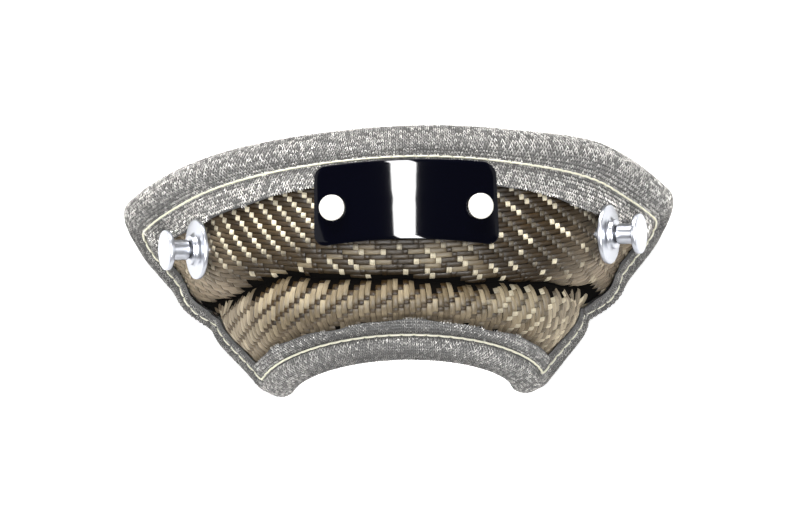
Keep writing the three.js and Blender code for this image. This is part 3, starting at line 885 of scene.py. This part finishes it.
class Spread:
    """Geometry Nodes group that sets one small object on each point of a cloud."""

    def __init__(self) -> None:
        tree = bpy.data.node_groups.new("spread", "GeometryNodeTree")
        self.tree = tree
        face = tree.interface
        face.new_socket("Geometry", in_out="INPUT", socket_type="NodeSocketGeometry")
        self.sockets = {
            "piece": face.new_socket("Piece", in_out="INPUT", socket_type="NodeSocketObject"),
            "material": face.new_socket("Material", in_out="INPUT", socket_type="NodeSocketMaterial"),
            "scale": face.new_socket("Scale", in_out="INPUT", socket_type="NodeSocketFloat"),
        }
        face.new_socket("Geometry", in_out="OUTPUT", socket_type="NodeSocketGeometry")
        add = tree.nodes.new
        link = tree.links.new
        came, out = add("NodeGroupInput"), add("NodeGroupOutput")
        info, onto, real, paint = (
            add("GeometryNodeObjectInfo"), add("GeometryNodeInstanceOnPoints"),
            add("GeometryNodeRealizeInstances"), add("GeometryNodeSetMaterial"),
        )
        frame = add("FunctionNodeAxesToRotation")
        frame.primary_axis, frame.secondary_axis = "Z", "X"
        for name, socket in (("normal", "Primary Axis"), ("tangent", "Secondary Axis")):
            read = add("GeometryNodeInputNamedAttribute")
            read.data_type = "FLOAT_VECTOR"
            read.inputs["Name"].default_value = name
            link(read.outputs["Attribute"], frame.inputs[socket])
        link(came.outputs["Piece"], info.inputs["Object"])
        link(info.outputs["Geometry"], onto.inputs["Instance"])
        link(came.outputs["Geometry"], onto.inputs["Points"])
        link(frame.outputs[0], onto.inputs["Rotation"])
        link(came.outputs["Scale"], onto.inputs["Scale"])
        link(onto.outputs[0], real.inputs[0])
        link(real.outputs[0], paint.inputs["Geometry"])
        link(came.outputs["Material"], paint.inputs["Material"])
        link(paint.outputs[0], out.inputs[0])

    def run(self, name: str, points: Array, tangent: Array, normal: Array, tone: Array,
            piece: bpy.types.Object, material: bpy.types.Material, scale: float = 1.0) -> bpy.types.Object:
        """Sets the piece on each point and hands back one plain mesh.

        Args:
            name: Name of the result.
            points: Places in millimetres.
            tangent: Direction of the piece's X axis at each.
            normal: Direction of its Z axis.
            tone: A number stored for each.
            piece: The small object.
            material: Material of the result.
            scale: Size of each.

        Returns:
            The object.
        """
        cloud = bpy.data.meshes.new(name + "_cloud")
        cloud.vertices.add(len(points))
        cloud.vertices.foreach_set("co", np.asarray(points * MM, np.float32).ravel())
        for key, value in (("tangent", tangent), ("normal", normal)):
            layer = cloud.attributes.new(key, "FLOAT_VECTOR", "POINT")
            layer.data.foreach_set("vector", np.asarray(value, np.float32).ravel())
        layer = cloud.attributes.new("tone", "FLOAT", "POINT")
        layer.data.foreach_set("value", np.asarray(tone, np.float32))
        holder = bpy.data.objects.new(name + "_cloud", cloud)
        bpy.context.scene.collection.objects.link(holder)
        modifier = holder.modifiers.new("spread", "NODES")
        modifier.node_group = self.tree
        for key, value in (("piece", piece), ("material", material), ("scale", scale)):
            modifier[self.sockets[key].identifier] = value
        holder.update_tag()
        bpy.context.view_layer.update()
        graph = bpy.context.evaluated_depsgraph_get()
        mesh = bpy.data.meshes.new_from_object(holder.evaluated_get(graph), depsgraph=graph)
        bpy.data.objects.remove(holder)
        mesh.name = name
        made = bpy.data.objects.new(name, mesh)
        bpy.context.scene.collection.objects.link(made)
        LOG.info("%s: %d on %d places", name, len(mesh.polygons), len(points))
        return made


def tube(path: Array, radius: float, sides: int, ends: float = 1.0) -> Build:
    """Tube along a path, its ends narrowed by a factor."""
    step = np.gradient(path, axis=0)
    step /= np.linalg.norm(step, axis=1, keepdims=True)
    up = np.array([0.0, 0.0, 1.0])
    side = np.cross(step, up)
    side /= np.maximum(np.linalg.norm(side, axis=1, keepdims=True), 1e-9)
    over = np.cross(side, step)
    turn = np.linspace(0, 2 * math.pi, sides, endpoint=False)
    size = np.full(len(path), radius)
    size[0] *= ends
    size[-1] *= ends
    circle = np.cos(turn)[None, :, None] * side[:, None] + np.sin(turn)[None, :, None] * over[:, None]
    points = path[:, None] + circle * size[:, None, None]
    return Build(points.reshape(-1, 3), grid_faces(len(path), sides, closed=True)[:, ::-1])


class Hem:
    """Knitted lining: plain skin, loops on its visible face, stitches.

    Lengths are in millimetres. SIDES holds the length of each side and the number
    of points that the skin has along it.
    """

    LOOP = 0.88
    ROW = 0.78
    LOOPS_FROM = -7.0
    LOOPS_TO = 21.0
    # Level and width of the painted shade in the valley above the stitch line.
    SHADE_BAND = 8.4
    SHADE_BAND_WIDTH = 2.2
    STITCH = 3.1
    THREAD = 0.28
    SIDES = {
        Side.NARROW: (98.0, 110),
        Side.RIGHT: (58.0, 60),
        Side.WIDE: (188.0, 190),
        Side.LEFT: (58.0, 60),
    }

    def __init__(self, pad: Pad, spread: Spread) -> None:
        self.pad = pad
        self.spread = spread
        self.random = np.random.default_rng(5)

    def edge(self, side: Side, f: Array) -> Array:
        """Distance round the section of the hem's free edge, a little uneven."""
        pad = self.pad
        scale = pad.side_scale(side)
        r = pad.z.rim_radius
        wave = 0.35 * np.sin(9.0 * f + 1.3) + 0.2 * np.sin(23.0 * f)
        return r * math.pi / 2 + (pad.z.hem - r) * scale + wave * (1 - np.abs(f) ** 8)

    def skin(self, material: bpy.types.Material, inner: bpy.types.Material) -> list[bpy.types.Object]:
        """The plain skin under the loops, near-black as painted shade between them, and the inner face."""
        pad = self.pad
        r = pad.z.rim_radius
        quarter = r * math.pi / 2
        steps = np.linspace(1, 0, 20)[:-1]
        ring_rows: list[Array] = []
        flat_rows: list[Array] = []
        inner_rows = np.concatenate([-np.linspace(0, quarter, 8)[1:], -quarter - np.array([1.5, 3.0])])
        stops = [("lip", 0.0)] + [("top", t) for t in steps]
        stops += [("rim", p) for p in np.linspace(quarter, 0, 8)]
        stops += [("rim", p) for p in inner_rows] + [("fill", 0.0)]
        for what, value in stops:
            row, flat = [], []
            for side, (_, count) in self.SIDES.items():
                f = np.linspace(-1, 1, count + 1)[:-1]
                if side in (Side.WIDE, Side.LEFT):
                    f = -f
                edge = self.edge(side, f)
                if what == "fill":
                    level = np.full_like(f, pad.z.inner_fill)
                    u, s = pad.ring_place(level, side, f)
                    points = pad.offset(u, s, -pad.inner_depth(level))
                    p = np.zeros_like(f)
                else:
                    if what in ("top", "lip"):
                        p = blend(quarter, edge, value if what == "top" else 1.0)
                    else:
                        p = np.full_like(f, value)
                    points = pad.fold(p, side, f)
                    inset = np.maximum(np.abs(p) - quarter, 0) + r * 0.9
                    u, s = pad.ring_place(pad.stretch(inset, pad.side_scale(side)), side, f)
                    if what == "lip":
                        points = points - pad.outward(u, s) * 0.9
                row.append(points)
                flat.append(np.stack(np.broadcast_arrays(f * count * 0.5, p), -1))
            ring_rows.append(np.concatenate(row))
            flat_rows.append(np.concatenate(flat))
        rows, columns = len(ring_rows), len(ring_rows[0])
        cut = rows - 4
        bands = []
        for first, last in ((0, cut + 1), (cut, rows)):
            faces = grid_faces(last - first, columns, closed=True)[:, ::-1]
            flat = np.concatenate(flat_rows[first:last])
            bands.append(Build(np.concatenate(ring_rows[first:last]), faces, {}, {"knit": flat}))
        lining = join([bands[1], self.inner_face()])
        return [bands[0].make("knit_skin", material), lining.make("knit_inner", inner)]

    def inner_face(self) -> Build:
        """The lining's face towards the wastegate, inside its rim."""
        pad = self.pad
        level = pad.z.inner_fill
        n, m = 140, 60
        h = np.linspace(-1, 1, n + 1)
        v = np.linspace(-1, 1, m + 1)
        bottom, top = pad.ring_place(level, Side.NARROW, h), pad.ring_place(level, Side.WIDE, h)
        left, right = pad.ring_place(level, Side.LEFT, v), pad.ring_place(level, Side.RIGHT, v)
        hh, vv = (h[None, :] + 1) / 2, (v[:, None] + 1) / 2
        place = []
        for k in (0, 1):
            mixed = blend(left[k][:, None], right[k][:, None], hh)
            mixed = mixed + blend(bottom[k][None, :], top[k][None, :], vv)
            low = blend(bottom[k][0], bottom[k][-1], hh)
            high = blend(top[k][0], top[k][-1], hh)
            place.append(mixed - blend(low, high, vv))
        u, s = place
        points = pad.offset(u, s, np.full_like(u, -pad.z.pad_half))
        x, y = pad.place_to_flat(u, s)
        flat = np.stack([x, y], -1).reshape(-1, 2)
        return Build(points.reshape(-1, 3), grid_faces(m + 1, n + 1)[:, ::-1], {}, {"knit": flat})

    def frames(self, side: Side, p: Array, f: Array) -> tuple[Array, Array, Array]:
        """Points, tangents along the side and normals of the fold."""
        pad, nudge = self.pad, 0.002
        points = pad.fold(p, side, f)
        tangent = pad.fold(p, side, f + nudge) - pad.fold(p, side, f - nudge)
        rise = pad.fold(p + 0.2, side, f) - pad.fold(p - 0.2, side, f)
        tangent /= np.maximum(np.linalg.norm(tangent, axis=-1, keepdims=True), 1e-9)
        normal = np.cross(tangent, rise)
        normal /= np.maximum(np.linalg.norm(normal, axis=-1, keepdims=True), 1e-9)
        if side in (Side.WIDE, Side.LEFT):
            normal, tangent = -normal, -tangent
        return points, tangent, normal

    def loops(self, wire: bpy.types.Material) -> list[bpy.types.Object]:
        """Wire loops over the hem and the rim."""
        piece = self.loop_piece()
        made = []
        groups = {"hem_wide": (Side.WIDE,), "hem_narrow_and_ends": (Side.NARROW, Side.LEFT, Side.RIGHT)}
        for name, sides in groups.items():
            clouds = []
            for side in sides:
                n = int(self.SIDES[side][0] / self.LOOP)
                f = (np.arange(n) + 0.5) / n * 2 - 1
                p = np.arange(self.LOOPS_FROM, self.LOOPS_TO, self.ROW)
                pp, ff = np.meshgrid(p, f, indexing="ij")
                keep = pp < self.edge(side, ff) - 0.1
                pp, ff = pp[keep], ff[keep]
                pp = pp + self.random.normal(0, 0.05, pp.shape)
                points, tangent, normal = self.frames(side, pp, ff)
                lean = self.random.normal(0, 0.12, tangent.shape)
                normal = normal + self.random.normal(0, 0.1, normal.shape)
                # Painted light and shade: loops darker in the valley above the stitch line, lighter on the
                # wide rim, darker on the narrow side and ends.
                valley_shade = np.exp(-(((pp - self.SHADE_BAND) / self.SHADE_BAND_WIDTH) ** 2))
                painted_light = 1.25 - 0.55 * valley_shade if side is Side.WIDE else np.full_like(pp, 0.85)
                clouds.append((points, tangent + lean, normal, painted_light))
            points, tangent, normal, painted_light = (np.concatenate(part) for part in zip(*clouds))
            # Painted shade: loops on the near side, under -18 mm in y, a little darker.
            tone = self.random.random(len(points)) * painted_light * np.where(points[:, 1] < -18.0, 0.85, 1.0)
            made.append(self.spread.run(name, points, tangent, normal, tone, piece, wire))
        bpy.data.objects.remove(piece)
        return made

    def loop_piece(self) -> bpy.types.Object:
        """One knitted loop: two legs of a V."""
        legs = []
        for hand in (-1, 1):
            path = np.array([
                [0.05, -0.5, -0.14], [0.2, 0.0, 0.14], [0.37, 0.48, -0.12],
            ]) * np.array([hand, 1.0, 1.0])
            legs.append(tube(path, 0.105, 3))
        return join(legs).make("loop", bpy.data.materials.new("loop_placeholder"))

    def stitches(self, material: bpy.types.Material) -> bpy.types.Object:
        """Thread of the line that holds the hem."""
        pad = self.pad
        points, tangents, normals = [], [], []
        quarter = pad.z.rim_radius * math.pi / 2
        for side in self.SIDES:
            f = np.linspace(-1, 1, 1200)
            scale = pad.side_scale(side)
            p = np.full_like(f, quarter + (pad.z.stitch - pad.z.rim_radius) * scale)
            line = pad.fold(p, side, f)
            run = np.concatenate([[0], np.cumsum(np.linalg.norm(np.diff(line, axis=0), axis=1))])
            count = max(int(run[-1] / self.STITCH), 1)
            places = np.interp((np.arange(count) + 0.5) / count * run[-1], run, f)
            q, t, n = self.frames(side, np.interp(places, f, p), places)
            points.append(q)
            tangents.append(t)
            normals.append(n)
        path_x = np.linspace(-1.6, 1.6, 11)
        arch = 0.6 - 0.6 * np.abs(path_x / 1.6) ** 4
        path = np.stack([path_x, 0 * path_x, arch], -1)
        piece = tube(path, self.THREAD, 8, 0.6).make("stitch", material)
        q = np.concatenate(points)
        made = self.spread.run(
            "hem_stitches", q, np.concatenate(tangents), np.concatenate(normals),
            self.random.random(len(q)), piece, material,
        )
        bpy.data.objects.remove(piece)
        return made


# Hard pieces


@dataclass(frozen=True)
class Place:
    """Where a turned piece stands on the pad, and how it leans.

    It leans about the point at height pivot on a line that leans as the solid does.
    """

    u: float
    s: float
    lean_end: float = 0.0
    lean_wide: float = 0.0
    pivot: float = 0.0
    pivot_end: float = 0.0
    pivot_wide: float = 0.0


class Turner:
    """Makes turned pieces about the pad's normal."""

    SIDES = 72

    def __init__(self, pad: Pad) -> None:
        self.pad = pad

    def basis(self, place: Place) -> tuple[Array, Array]:
        """Origin and the three axes of a place."""
        pad = self.pad
        u, s = np.asarray(place.u), np.asarray(place.s)
        straight, along = pad.outward(u, s), pad.along(u, s)
        to_wide = np.cross(straight, along)

        def leaned(end: float, wide: float) -> Array:
            """Unit direction that leans off the pad's normal."""
            direction = straight + along * np.sign(place.u) * end + to_wide * wide
            return direction / np.linalg.norm(direction)

        axis = leaned(place.lean_end, place.lean_wide)
        stem = leaned(place.pivot_end, place.pivot_wide)
        side = along - axis * along.dot(axis)
        side /= np.linalg.norm(side)
        origin = pad.middle(u, s) + (stem - axis) * place.pivot
        return origin, np.stack([side, np.cross(axis, side), axis])

    def turned(
        self, name: str, place: Place, profile: Profile, material: bpy.types.Material
    ) -> bpy.types.Object:
        """A turned piece from radius and height pairs."""
        origin, axes = self.basis(place)
        turn = np.linspace(0, 2 * math.pi, self.SIDES, endpoint=False)
        rows = [
            origin + np.outer(np.cos(turn) * r, axes[0]) + np.outer(np.sin(turn) * r, axes[1]) + axes[2] * h
            for r, h in profile
        ]
        build = Build(np.concatenate(rows), grid_faces(len(rows), self.SIDES, closed=True))
        made = build.make(name, material)
        made.data.shade_smooth()
        return made


def rounded(profile: Profile, radius: float, steps: int = 4) -> Profile:
    """Profile with its corners rounded."""
    points = [np.array(p, float) for p in profile]
    out = [tuple(points[0])]
    for before, here, after in zip(points, points[1:], points[2:]):
        cut = min(radius, np.linalg.norm(before - here) / 2, np.linalg.norm(after - here) / 2)
        start = here + (before - here) / max(np.linalg.norm(before - here), 1e-9) * cut
        end = here + (after - here) / max(np.linalg.norm(after - here), 1e-9) * cut
        for t in np.linspace(0, 1, steps + 1):
            out.append(tuple((1 - t) ** 2 * start + 2 * t * (1 - t) * here + t * t * end))
    out.append(tuple(points[-1]))
    return out


class Hardware:
    """Plate, rivets, posts and flanges."""

    PLATE_WIDTH = 43.0
    PLATE_HEIGHT = 20.4
    PLATE_OFFSET = 1.8
    PLATE_STATION = 0.709
    PLATE_THICK = 0.9
    PLATE_LIFT = 6.6
    PLATE_TILT = -0.3
    PLATE_CORNER = 3.2
    RIVET_SPACING = 34.0
    RIVET_STATION = 0.69

    def __init__(self, pad: Pad) -> None:
        self.pad = pad
        self.turner = Turner(pad)

    def plate(self, material: bpy.types.Material) -> bpy.types.Object:
        """Bent plate with rounded corners and a soft edge."""
        pad = self.pad
        outline, steps = [], 10
        hw, hh, r = self.PLATE_WIDTH / 2, self.PLATE_HEIGHT / 2, self.PLATE_CORNER
        x, y = hw - r, hh - r
        for cx, cy, start in ((x, y, 0), (-x, y, 90), (-x, -y, 180), (x, -y, 270)):
            for t in np.linspace(0, 90, steps + 1):
                a = math.radians(start + t)
                outline.append((cx + r * math.cos(a), cy + r * math.sin(a)))
        outline = np.array(outline)
        dense = []
        for a, b in zip(outline, np.roll(outline, -1, axis=0)):
            count = max(int(np.linalg.norm(b - a) / 0.8), 1)
            dense.extend(a + (b - a) * k / count for k in range(count))
        outline = np.array(dense)
        bevel = 0.25
        rings = [(0.0, -1.0), (0.0, 0.0), (0.0, 1.0 - bevel), (bevel * 0.3, 1 - bevel * 0.3), (bevel, 1.0)]
        rings += [(inset, 1.0) for inset in (1.0, 2.2, 4.0, 6.0, 8.0, hh)]
        rows = []
        for inset, lift in rings:
            scale = np.array([(hw - inset) / hw, (hh - inset) / hh])
            x, y = (outline * scale).T
            s = self.PLATE_STATION + y / pad.slant
            w = self.PLATE_LIFT + self.PLATE_TILT * y / self.PLATE_HEIGHT + max(lift, 0) * self.PLATE_THICK
            if lift < 0:
                x, y = x * 0.8, y * 0.8
                s = self.PLATE_STATION + y / pad.slant
            rows.append(pad.offset((x + self.PLATE_OFFSET) / pad.arc(s)[2], s, w))
        build = Build(np.concatenate(rows), grid_faces(len(rows), len(outline), closed=True))
        made = build.make("plate", material)
        weld(made)
        return made

    def rivets(self, material: bpy.types.Material) -> list[bpy.types.Object]:
        """Flat rivet heads."""
        pad = self.pad
        made = []
        rise = self.PLATE_TILT * (self.RIVET_STATION - self.PLATE_STATION) * pad.slant / self.PLATE_HEIGHT
        top = self.PLATE_LIFT + self.PLATE_THICK + rise
        for name, hand in (("rivet_head_left", -1), ("rivet_head_right", 1)):
            run = self.PLATE_OFFSET + hand * self.RIVET_SPACING / 2
            place = Place(float(run / pad.arc(self.RIVET_STATION)[2]), self.RIVET_STATION)
            profile = [(1.2, top - 2), (1.2, top + 0.25), (3.25, top + 0.3)]
            profile += [(3.25, top + 1.35), (0.01, top + 1.42)]
            made.append(self.turner.turned(name, place, rounded(profile, 0.22), material))
        return made

    def posts(self, material: bpy.types.Material) -> list[tuple[bpy.types.Object, str]]:
        """Posts and their flanges."""
        pad = self.pad
        lift = pad.z.pillow_top + 1.35
        made = []
        for hand, (u, s) in zip(("left", "right"), pad.POSTS):
            place = Place(u, s, 0.35, 0.37, lift + 0.6, -0.12, 0.17)
            high = lift + 1.2
            collar = high + 1.6
            neck = collar + 0.4
            head = neck + 5.0
            top = head + 1.3
            post = rounded([
                (1.8, -8), (1.8, neck), (2.65, neck), (2.65, head), (5.2, head), (5.2, top), (0.01, top),
            ], 0.35)
            disc = rounded([
                (2.2, lift), (7.8, lift), (7.8, high), (4.4, high),
                (3.9, high + 0.5), (3.9, collar), (2.2, collar), (2.2, lift),
            ], 0.35)
            for kind, profile, node in (("post", post, "lacing_post"), ("flange", disc, "post_flange")):
                piece = self.turner.turned(f"{kind}_{hand}", place, profile, material)
                made.append((piece, f"{node}_{hand}"))
        return made


# Stage


@dataclass(frozen=True)
class Shot:
    """Camera of the photo: angle, distance and scale."""

    elevation: float = 67.0
    distance: float = 560.0
    pixel: float = 0.262
    target: tuple[float, float, float] = (0.0, 1.6, 25.65)
    centre: tuple[float, float] = (400.0, 262.4)
    roll: float = 1.4
    size: tuple[int, int] = (800, 521)
    sensor: float = 36.0


class Stage:
    """Camera, floor and lights."""

    AIM = (0.0, 0.0, 0.03)
    FLOOR_SIZE = 4.0
    FLOOR_DROP = 0.0002

    def __init__(self, shot: Shot) -> None:
        self.shot = shot

    def camera(self) -> None:
        """Camera at the photo's angle."""
        shot = self.shot
        data = bpy.data.cameras.new("camera")
        data.sensor_width = shot.sensor
        data.lens = shot.distance / shot.pixel * shot.sensor / shot.size[0]
        data.shift_x = (shot.size[0] / 2 - shot.centre[0]) / shot.size[0]
        data.shift_y = (shot.centre[1] - shot.size[1] / 2) / shot.size[0]
        data.clip_start, data.clip_end = 0.01, 20.0
        made = bpy.data.objects.new("camera", data)
        e = math.radians(shot.elevation)
        away = Vector((0, -math.cos(e), math.sin(e)))
        made.location = (Vector(shot.target) + away * shot.distance) * MM
        turn = Quaternion((0.0, 0.0, 1.0), math.radians(-shot.roll))
        made.rotation_euler = (away.to_track_quat("Z", "Y") @ turn).to_euler()
        bpy.context.scene.collection.objects.link(made)
        bpy.context.scene.camera = made

    def floor(self) -> None:
        """Plain white floor that keeps the object's shadow."""
        look = Look(Finish("floor", (0.93, 0.93, 0.93), 0.9, specular=0.1))
        look.set("Emission Color", (1.0, 1.0, 1.0))
        look.set("Emission Strength", 0.68)
        bpy.ops.mesh.primitive_plane_add(size=self.FLOOR_SIZE, location=(0, 0, -self.FLOOR_DROP))
        made = bpy.context.object
        made.name = "floor"
        made.data.materials.append(look.material)

    def light(
        self, name: str, place: tuple[float, float, float], size: tuple[float, float], power: float
    ) -> bpy.types.Object:
        """Area light aimed at the object."""
        data = bpy.data.lights.new(name, "AREA")
        data.shape = "RECTANGLE"
        data.size, data.size_y = size
        data.energy = power
        made = bpy.data.objects.new(name, data)
        made.location = place
        made.rotation_euler = (Vector(place) - Vector(self.AIM)).to_track_quat("Z", "Y").to_euler()
        bpy.context.scene.collection.objects.link(made)
        return made

    def lights(self) -> None:
        """Soft studio lights."""
        self.light("back_key", (-0.15, 0.85, 0.6), (0.9, 0.5), 28.0)
        self.light("left_fill", (-0.9, -0.2, 0.6), (0.6, 0.8), 5.0)
        self.light("right_fill", (0.9, -0.1, 0.5), (0.5, 0.8), 3.0)
        strip = self.light("strip", (0.05, -0.36, 0.86), (0.15, 0.9), 90.0)
        strip.visible_diffuse = False
        world = bpy.data.worlds.new("world")
        world.use_nodes = True
        background = world.node_tree.nodes["Background"]
        background.inputs["Color"].default_value = (1, 1, 1, 1)
        background.inputs["Strength"].default_value = 0.38
        bpy.context.scene.world = world

    def settings(self) -> None:
        """Plain colour handling."""
        bpy.context.scene.view_settings.view_transform = "Standard"

    def build(self) -> None:
        """Sets up the whole stage."""
        self.camera()
        self.floor()
        self.lights()
        self.settings()


# Assembly


YARN = Finish("cloth_yarn", (0.036, 0.019, 0.003), 0.46, specular=0.12)
# Painted sheen colour of the yarn floats.
PAINTED_SHEEN_BEIGE = (0.168, 0.118, 0.056)
# Painted grazing sheen colour.
PAINTED_GRAZING_TAUPE = (0.28, 0.226, 0.16)
# Painted highlight colour of the glinting crossings.
PAINTED_GLINT_CREAM = (0.92, 0.82, 0.6)
# Near-black painted shade for the crease and the gaps between yarns.
CREASE_SHADE_BACK = Finish("cloth_back_shade", (0.003, 0.002, 0.001), 1.0, specular=0.02)
WIRE = Finish("knit_wire", (0.66, 0.64, 0.6), 0.4, 0.35)
# Near-black painted shade between the knitted loops.
SHADE_SKIN = Finish("knit_skin", (0.028, 0.026, 0.024), 0.8, 0.1)
INNER = Finish("knit_inner", (0.4, 0.39, 0.37), 0.5, 0.3)
THREAD = Finish("hem_thread", (0.9, 0.87, 0.68), 0.6)
PLATE = Finish("plate_black", (0.0008, 0.001, 0.0045), 0.05, specular=0.07)
RIVET = Finish("rivet_cream", (0.76, 0.73, 0.66), 0.45, 0.1)
STEEL = Finish("post_steel", (0.34, 0.35, 0.38), 0.28, 1.0)
FELT = Finish("felt", (0.82, 0.80, 0.74), 0.95)


def padded(made: bpy.types.Object, slot: str, *nodes: str) -> None:
    """Attaches a piece of the pad to the frame and hides the nodes it stands for."""
    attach(made, "root")
    for node in nodes:
        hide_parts(node)


def main() -> None:
    """Builds the scene."""
    logging.basicConfig(level=logging.INFO, format="%(name)s %(message)s")
    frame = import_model()
    pad = Pad(PadSizes())
    shop = Shop()
    spread = Spread()

    yarn = shop.yarn(YARN)
    back = shop.plain(CREASE_SHADE_BACK, 0.3)
    for upper, node in ((True, "outer_upper_panel"), (False, "outer_lower_panel")):
        panel = ClothPanel(pad, Weave(), upper)
        padded(panel.build(yarn), "cloth", node)
        padded(panel.backing(back), "cloth", node)

    hem = Hem(pad, spread)
    for made in hem.skin(shop.knit(SHADE_SKIN), shop.knit(INNER)) + hem.loops(shop.wire(WIRE)):
        padded(made, "knitted_mesh", "mesh_lining")
    padded(hem.stitches(shop.plain(THREAD, 0.2)), "thread", "perimeter_stitching")

    hardware = Hardware(pad)
    padded(hardware.plate(shop.plain(PLATE)), "plate", "name_plate")
    for made, node in zip(hardware.rivets(shop.plain(RIVET, 0.12, 600.0)), ("rivet_left", "rivet_right")):
        padded(made, "rivet", node)
    steel = shop.plain(STEEL, 0.08, 400.0)
    for made, node in hardware.posts(steel):
        padded(made, "steel", node)

    rest = {"insulation_batt": shop.plain(FELT, 0.3), "seam_thread": shop.plain(THREAD, 0.2)}
    for name, node in frame["nodes"].items():
        node.data.materials.clear()
        node.data.materials.append(rest.get(name, steel))

    Stage(Shot()).build()


if __name__ == "__main__":
    main()
